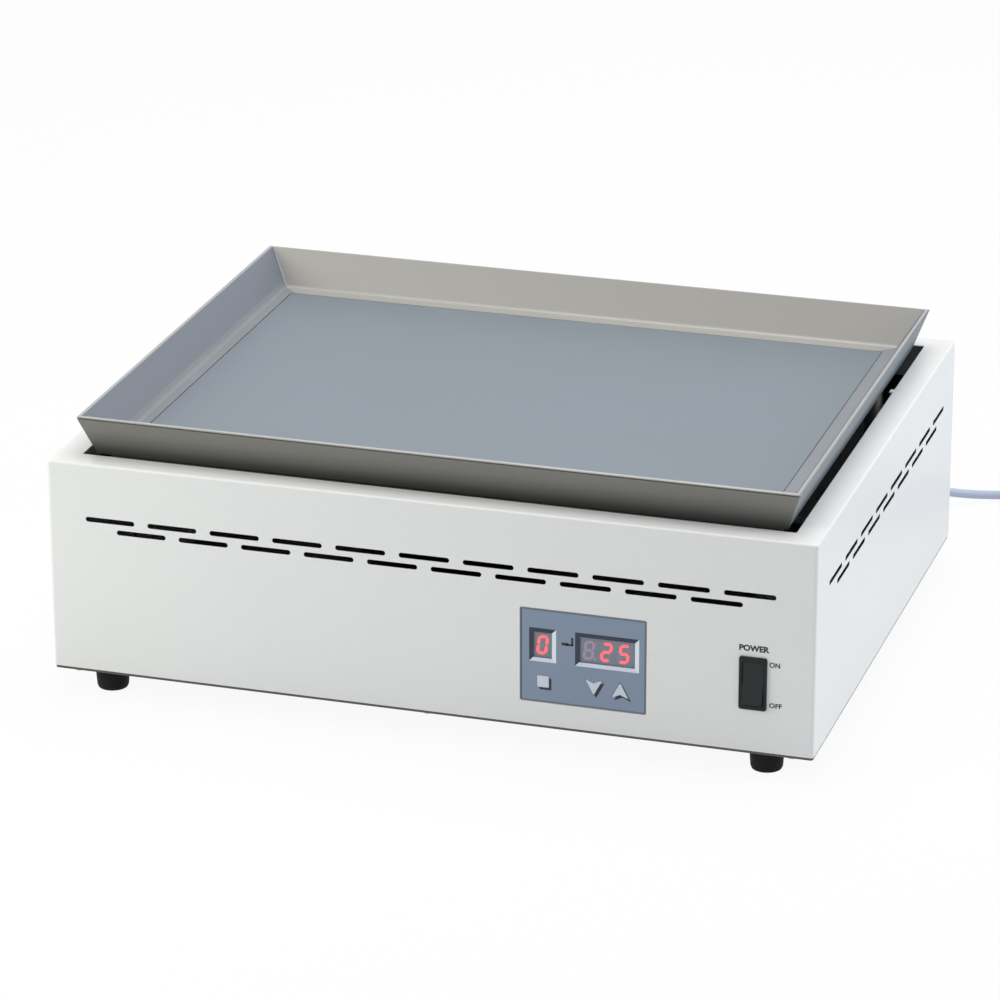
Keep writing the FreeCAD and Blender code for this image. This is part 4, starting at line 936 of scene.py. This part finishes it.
@dataclass
class MainsLead:
    """The cord: its free stretch, the put-away coil and the tail to the plug."""

    diameter: float = 0.0066
    lying: float = 0.0036
    upper: float = 0.0102
    middle_radius: float = 0.0386
    stub: float = 0.028
    curve_share: float = 0.985
    turns: int = 6
    points_per_turn: int = 16
    route: tuple[Point, ...] = (
        (0.227, 0.248, 0.038),
        (0.227, 0.270, 0.038),
        (0.230, 0.292, 0.026),
        (0.240, 0.3095, 0.0128),
        (0.2615, 0.323, 0.0072),
        (0.284, 0.335, 0.0048),
        (0.309, 0.3426, 0.0036),
        (0.335, 0.3406, 0.0036),
    )

    def coil_points(self) -> list[Vector]:
        """Returns the coil's control points and the tail's end, clockwise seen from above."""
        outer = self.middle_radius + self.diameter
        end = Vector(self.route[-1])
        heading = (end - Vector(self.route[-2])).normalized()
        tangent = end + heading * self.stub
        centre = tangent + Vector((heading.y, -heading.x, 0.0)) * outer
        start = math.atan2(tangent.y - centre.y, tangent.x - centre.x)
        total = start + 2.0 * math.pi * self.turns
        legs = round(total / (2.0 * math.pi) * self.points_per_turn)
        step = total / legs
        points = []
        for k in range(legs):
            turned = (k + 0.5) * step
            radius, height = self.winding(turned / (2.0 * math.pi))
            radius /= math.cos(step / 2.0)
            angle = start - turned
            points.append(
                Vector(
                    (
                        centre.x + radius * math.cos(angle),
                        centre.y + radius * math.sin(angle),
                        height,
                    )
                )
            )
        points.append(Vector((centre.x + outer, centre.y - self.stub, self.upper)))
        return points

    def winding(self, turn: float) -> tuple[float, float]:
        """Where the winding lies after a number of turns.

        The lower layer steps inwards once a turn, climbs on the inside and the
        upper layer steps outwards again.

        Args:
            turn: Turns wound so far.

        Returns:
            The radius and the height of the cord's middle line.
        """
        inwards = eased(turn, 0.80, 0.95) + eased(turn, 1.80, 1.95)
        climb = eased(turn, 2.60, 2.80)
        outwards = eased(turn, 3.45, 3.60) + eased(turn, 4.45, 4.60)
        radius = self.middle_radius + self.diameter * (1.0 - inwards + outwards)
        return radius, self.lying + (self.upper - self.lying) * climb

    def build(self) -> None:
        line = bpy.data.curves.new("mains_lead", "CURVE")
        line.dimensions = "3D"
        line.bevel_depth = self.diameter / 2.0
        line.bevel_resolution = 6
        line.resolution_u = 6
        line.use_fill_caps = True
        points = [Vector(p) for p in self.route] + self.coil_points()
        spline = line.splines.new("NURBS")
        spline.points.add(len(points) - 1)
        for place, point in zip(spline.points, points):
            place.co = (*point, 1.0)
        spline.order_u = 3
        spline.use_endpoint_u = True
        cord = bpy.data.objects.new("mains_lead", line)
        bpy.context.scene.collection.objects.link(cord)
        line.materials.append(material_for(CORD_SHEATH))
        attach(cord, HOUSING)
        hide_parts("mains_cord", "cord_coil")


@dataclass
class ElementLeads:
    """The sleeved leads from the terminal block to the heating element.

    They climb behind the back right post, run along the back wall under the
    plate and come down to the element's left end.
    """

    diameter: float = 0.012
    route: tuple[Point, ...] = (
        (0.222, 0.126, 0.038),
        (0.2405, 0.150, 0.042),
        (0.252, 0.185, 0.054),
        (0.254, 0.2015, 0.085),
        (0.252, 0.2015, 0.118),
        (0.238, 0.2015, 0.1305),
        (0.150, 0.2015, 0.1305),
        (-0.150, 0.2015, 0.1305),
        (-0.176, 0.199, 0.130),
        (-0.190, 0.180, 0.120),
        (-0.192, 0.152, 0.107),
        (-0.192, 0.134, 0.1045),
    )
    tie_places: tuple[float, ...] = (-0.12, -0.04, 0.04, 0.12, 0.19)
    tie_radius: float = 0.0007

    def build(self) -> None:
        """Draws the sleeve and sets the ties along the back wall."""
        clear_selection()
        line = bpy.data.curves.new("element_leads", "CURVE")
        line.dimensions = "3D"
        line.bevel_depth = self.diameter / 2.0
        line.bevel_resolution = 5
        line.resolution_u = 8
        line.use_fill_caps = True
        spline = line.splines.new("NURBS")
        spline.points.add(len(self.route) - 1)
        for place, point in zip(spline.points, self.route):
            place.co = (*point, 1.0)
        spline.order_u = 3
        spline.use_endpoint_u = True
        sleeve = bpy.data.objects.new("element_leads", line)
        bpy.context.scene.collection.objects.link(sleeve)
        choose(sleeve)
        bpy.ops.object.convert(target="MESH")
        hand_over(bpy.context.active_object, "element_leads", LEAD_SLEEVE)
        y, z = self.route[len(self.route) // 2][1:]
        ties = [self.tie((x, y, z)) for x in self.tie_places]
        hand_over(merged(ties), "lead_ties", SWITCH_PLASTIC)

    def tie(self, place: Point) -> bpy.types.Object:
        """Models one tie around the sleeve.

        Args:
            place: The middle of the tie.

        Returns:
            The tie's object.
        """
        clear_selection()
        bpy.ops.mesh.primitive_torus_add(
            location=place,
            rotation=(0.0, math.pi / 2.0, 0.0),
            major_radius=self.diameter / 2.0,
            minor_radius=self.tie_radius,
            major_segments=32,
            minor_segments=8,
        )
        piece = bpy.context.active_object
        settle(piece)
        return piece


class DigitShape(Enum):
    """Which of the seven segments are lit, from the top clockwise, then the middle."""

    ZERO = "abcdef"
    TWO = "abged"
    FIVE = "afgcd"
    BLANK = ""


@dataclass
class DigitDisplay:
    """One seven-segment digit on the face of its module."""

    name: str
    centre_x: float
    shape: DigitShape
    centre_z: float = 0.0773
    face_y: float = FRONT_Y + 0.0009
    width: float = 0.0079
    height: float = 0.0141
    stroke: float = 0.0022
    taper: float = 0.49
    point_radius: float = 0.00099
    point_offset: Flat = (0.00088, -0.00011)
    proud: float = 0.0001
    gap: float = 0.0001
    slant: float = math.radians(7.5)

    def segments(self) -> dict[str, tuple[float, float, bool]]:
        """Returns each segment's place beside the digit's middle and whether it stands upright."""
        side = (self.width - self.stroke) / 2.0
        top = (self.height - self.stroke) / 2.0
        return {
            "a": (0.0, top, False),
            "b": (side, top / 2.0, True),
            "c": (side, -top / 2.0, True),
            "d": (0.0, -top, False),
            "e": (-side, -top / 2.0, True),
            "f": (-side, top / 2.0, True),
            "g": (0.0, 0.0, False),
        }

    def build(self) -> None:
        """Models the lit and the unlit segments and the point."""
        lit, unlit = [], []
        top = (self.height - self.stroke) / 2.0
        for letter, (x, z, upright) in self.segments().items():
            span = (top if upright else self.width - self.stroke) - self.gap
            size = (span, self.proud, self.stroke)
            piece = bar(size, (0.0, 0.0, 0.0), self.stroke * self.taper)
            turn = Matrix.Rotation(math.pi / 2.0, 4, "Y") if upright else Matrix.Identity(4)
            piece.data.transform(Matrix.Translation((x, 0.0, z)) @ turn)
            (lit if letter in self.shape.value else unlit).append(piece)
        clear_selection()
        bpy.ops.mesh.primitive_cylinder_add(
            vertices=24, radius=self.point_radius, depth=self.proud
        )
        point = bpy.context.active_object
        corner = (self.width / 2.0 + self.point_offset[0], 0.0, self.point_offset[1] - top)
        point.data.transform(
            Matrix.Translation(corner) @ Matrix.Rotation(math.pi / 2.0, 4, "X")
        )
        unlit.append(point)
        dark = BLANK_SEGMENT if self.shape is DigitShape.BLANK else DARK_SEGMENT
        for group, state in ((lit, LIT_SEGMENT), (unlit, dark)):
            if group:
                self.place(merged(group), state)

    def place(self, piece: bpy.types.Object, finish: Finish) -> None:
        """Slants a group of segments and sets it on the module's face.

        Args:
            piece: The joined segments, around the origin.
            finish: Lit or unlit.
        """
        lean = Matrix.Identity(4)
        lean[0][2] = math.tan(self.slant)
        y = self.face_y - self.proud / 2.0
        piece.data.transform(Matrix.Translation((self.centre_x, y, self.centre_z)) @ lean)
        state = "lit" if finish is LIT_SEGMENT else "unlit"
        hand_over(piece, f"{self.name}_{state}", finish)


@dataclass
class Lettering:
    """One printed word or number on an upright front surface."""

    word: str
    low: Flat
    high: Flat
    weight: float
    thickness: float = 0.00006
    half_depth: float = 0.02

    def build(self) -> None:
        """Sets the word, fits it to its box and lays it on the surface."""
        clear_selection()
        bpy.ops.object.text_add()
        text = bpy.context.active_object
        text.data.body = self.word
        text.data.extrude = self.half_depth
        text.data.offset = self.weight
        text.data.resolution_u = 4
        bpy.ops.object.convert(target="MESH")
        piece = bpy.context.active_object
        xs = [v.co.x for v in piece.data.vertices]
        ys = [v.co.y for v in piece.data.vertices]
        wide = (self.high[0] - self.low[0]) / (max(xs) - min(xs))
        tall = (self.high[1] - self.low[1]) / (max(ys) - min(ys))
        shift = Matrix.Translation((-min(xs), -min(ys), 0.0))
        size = Matrix.Diagonal((wide, tall, self.thickness / (2.0 * self.half_depth), 1.0))
        stand = Matrix.Rotation(math.pi / 2.0, 4, "X")
        place = (self.low[0], FRONT_Y - self.thickness / 2.0, self.low[1])
        piece.data.transform(Matrix.Translation(place) @ stand @ size @ shift)
        hand_over(piece, f"print_{self.word.lower()}", PRINT_INK)


@dataclass
class MitredFrame:
    """A frame of four thin strips with mitred corners around a rectangle, laid on the front:
    printing round the windows and painted shade round the fascia.
    """

    name: str
    low: Flat
    high: Flat
    border: float
    left: Finish
    top: Finish
    right: Finish
    bottom: Finish

    def build(self) -> None:
        """Lays the four strips on the front."""
        x0, z0 = self.low
        x1, z1 = self.high
        w = self.border
        outer = [(x0 - w, z0 - w), (x0 - w, z1 + w), (x1 + w, z1 + w), (x1 + w, z0 - w)]
        inner = [(x0, z0), (x0, z1), (x1, z1), (x1, z0)]
        sides = {
            "left": self.left,
            "top": self.top,
            "right": self.right,
            "bottom": self.bottom,
        }
        for k, (side, finish) in enumerate(sides.items()):
            after = (k + 1) % 4
            corners = [outer[k], outer[after], inner[after], inner[k]]
            strip = flat_shape(corners, FRONT_Y, INK)
            hand_over(strip, f"{self.name}_{side}", finish)


@dataclass
class KeyShade:
    """The key's shadow, printed dark along its lower right side: a painted shadow."""

    name: str
    centre: Flat
    outline: list[Flat]
    opening: list[Flat]
    shift: Flat = (0.0017, -0.0018)

    def build(self) -> None:
        """Prints the key's outline, shifted, and clears the key's own opening."""
        x, z = self.centre
        moved = [(x + a + self.shift[0], z + b + self.shift[1]) for a, b in self.outline]
        shade = flat_shape(moved, FRONT_Y, INK)
        hole = [(x + a, z + b) for a, b in self.opening]
        cut_away(shade, flat_shape(hole, FRONT_Y + INK, INK * 3.0))
        hand_over(shade, self.name, KEY_SHADOW_INK)


def square(half: float) -> list[Flat]:
    """Returns a square's corners around its middle."""
    return [(-half, -half), (-half, half), (half, half), (half, -half)]


def arrow(half_width: float, tip: float, heel: float, notch: float) -> list[Flat]:
    """Returns an arrowhead's corners; negative heights point it down."""
    return [(-half_width, -heel), (0.0, tip), (half_width, -heel), (0.0, -notch)]


@dataclass
class ControlPanel:
    """Digits, everything printed on the fascia and the painted shade round its edge."""

    mark_ink: float = 0.00006
    digits: tuple[DigitDisplay, ...] = (
        DigitDisplay("digit_single", 0.0827, DigitShape.ZERO),
        DigitDisplay("digit_hundreds", 0.1150, DigitShape.BLANK),
        DigitDisplay("digit_tens", 0.1271, DigitShape.TWO),
        DigitDisplay("digit_units", 0.1393, DigitShape.FIVE),
    )
    frames: tuple[MitredFrame, ...] = (
        MitredFrame(
            "window_bevel_single",
            (0.0765, WINDOW_LOW),
            (0.0895, WINDOW_HIGH),
            BEVEL_WIDTH,
            BEVEL_SHADE,
            BEVEL_SHADE,
            BEVEL_LIGHT,
            LOWER_BEVEL_LIT,
        ),
        MitredFrame(
            "window_bevel_triple",
            (0.1085, WINDOW_LOW),
            (0.1470, WINDOW_HIGH),
            BEVEL_WIDTH,
            BEVEL_SHADE,
            BEVEL_SHADE,
            BEVEL_LIGHT,
            LOWER_BEVEL_LIT,
        ),
        # Painted shade round the fascia's edge, darker on the left.
        MitredFrame(
            "fascia_gap_shade",
            (0.0685, 0.0371),
            (0.1536, 0.1021),
            0.0009,
            BORDER_SHADE,
            BORDER_GAP_SHADE,
            BORDER_GAP_SHADE,
            BORDER_GAP_SHADE,
        ),
    )
    # Painted shadows of the keys, printed to their lower right.
    shades: tuple[KeyShade, ...] = (
        KeyShade("shade_mode", (0.0833, KEY_HEIGHT), square(0.00415), square(0.00445)),
        KeyShade(
            "shade_down",
            (0.1186, KEY_HEIGHT),
            arrow(0.0060, -0.0057, -0.0057, -0.0030),
            arrow(0.0065, -0.0064, -0.0060, -0.0032),
        ),
        KeyShade(
            "shade_up",
            (0.1370, KEY_HEIGHT),
            arrow(0.0060, 0.0057, 0.0057, 0.0030),
            arrow(0.0065, 0.0064, 0.0060, 0.0032),
        ),
    )

    def build(self) -> None:
        """Builds the digits, the mark between the windows, the frames and the painted key shadows.
        """
        for digit in self.digits:
            digit.build()
        y = FRONT_Y - self.mark_ink / 2.0
        strokes = (
            ((0.0050, self.mark_ink, 0.0020), (0.0986, y, 0.0800)),
            ((0.0050, self.mark_ink, 0.0014), (0.1016, y, 0.0797)),
            ((0.0016, self.mark_ink, 0.0058), (0.1036, y, 0.0822)),
        )
        parts = [bar(size, centre, 0.0003) for size, centre in strokes]
        hand_over(merged(parts), "print_link_mark", LINK_INK)
        for frame in self.frames:
            frame.build()
        for shade in self.shades:
            shade.build()


@dataclass
class SwitchLegend:
    """Words around the power switch."""

    words: tuple[Lettering, ...] = (
        Lettering("POWER", (0.2182, 0.0907), (0.2388, 0.0952), weight=0.045),
        Lettering("ON", (0.2389, 0.0807), (0.2462, 0.0844), weight=0.03),
        Lettering("OFF", (0.2392, 0.0518), (0.2480, 0.0553), weight=0.03),
    )

    def build(self) -> None:
        """Prints the words."""
        for word in self.words:
            word.build()


@dataclass
class FrameDress:
    """Finishes of the CAD nodes."""

    nodes: dict[str, bpy.types.Object]

    def build(self) -> None:
        """Gives each listed CAD node its finish and warns about any node left without one."""
        for finish, names in NODE_FINISHES.items():
            for name in names:
                node = self.nodes[name]
                if not node.material_slots:
                    node.data.materials.append(None)
                for holder in node.material_slots:
                    holder.material = material_for(finish)
        dressed = {name for names in NODE_FINISHES.values() for name in names}
        for name in sorted(set(self.nodes) - dressed):
            LOG.warning("node %s has no finish", name)
        LOG.info("dressed %d CAD nodes", len(dressed))


def main(frame: dict) -> None:
    """Builds the scene.
    """
    logging.basicConfig(level=logging.INFO, format="%(message)s")
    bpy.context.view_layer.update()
    Studio().build()
    MainsLead().build()
    ElementLeads().build()
    FrameDress(frame["nodes"]).build()
    ControlPanel().build()
    SwitchLegend().build()
    LOG.info("scene is complete")


if __name__ == "__main__":
    main(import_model())
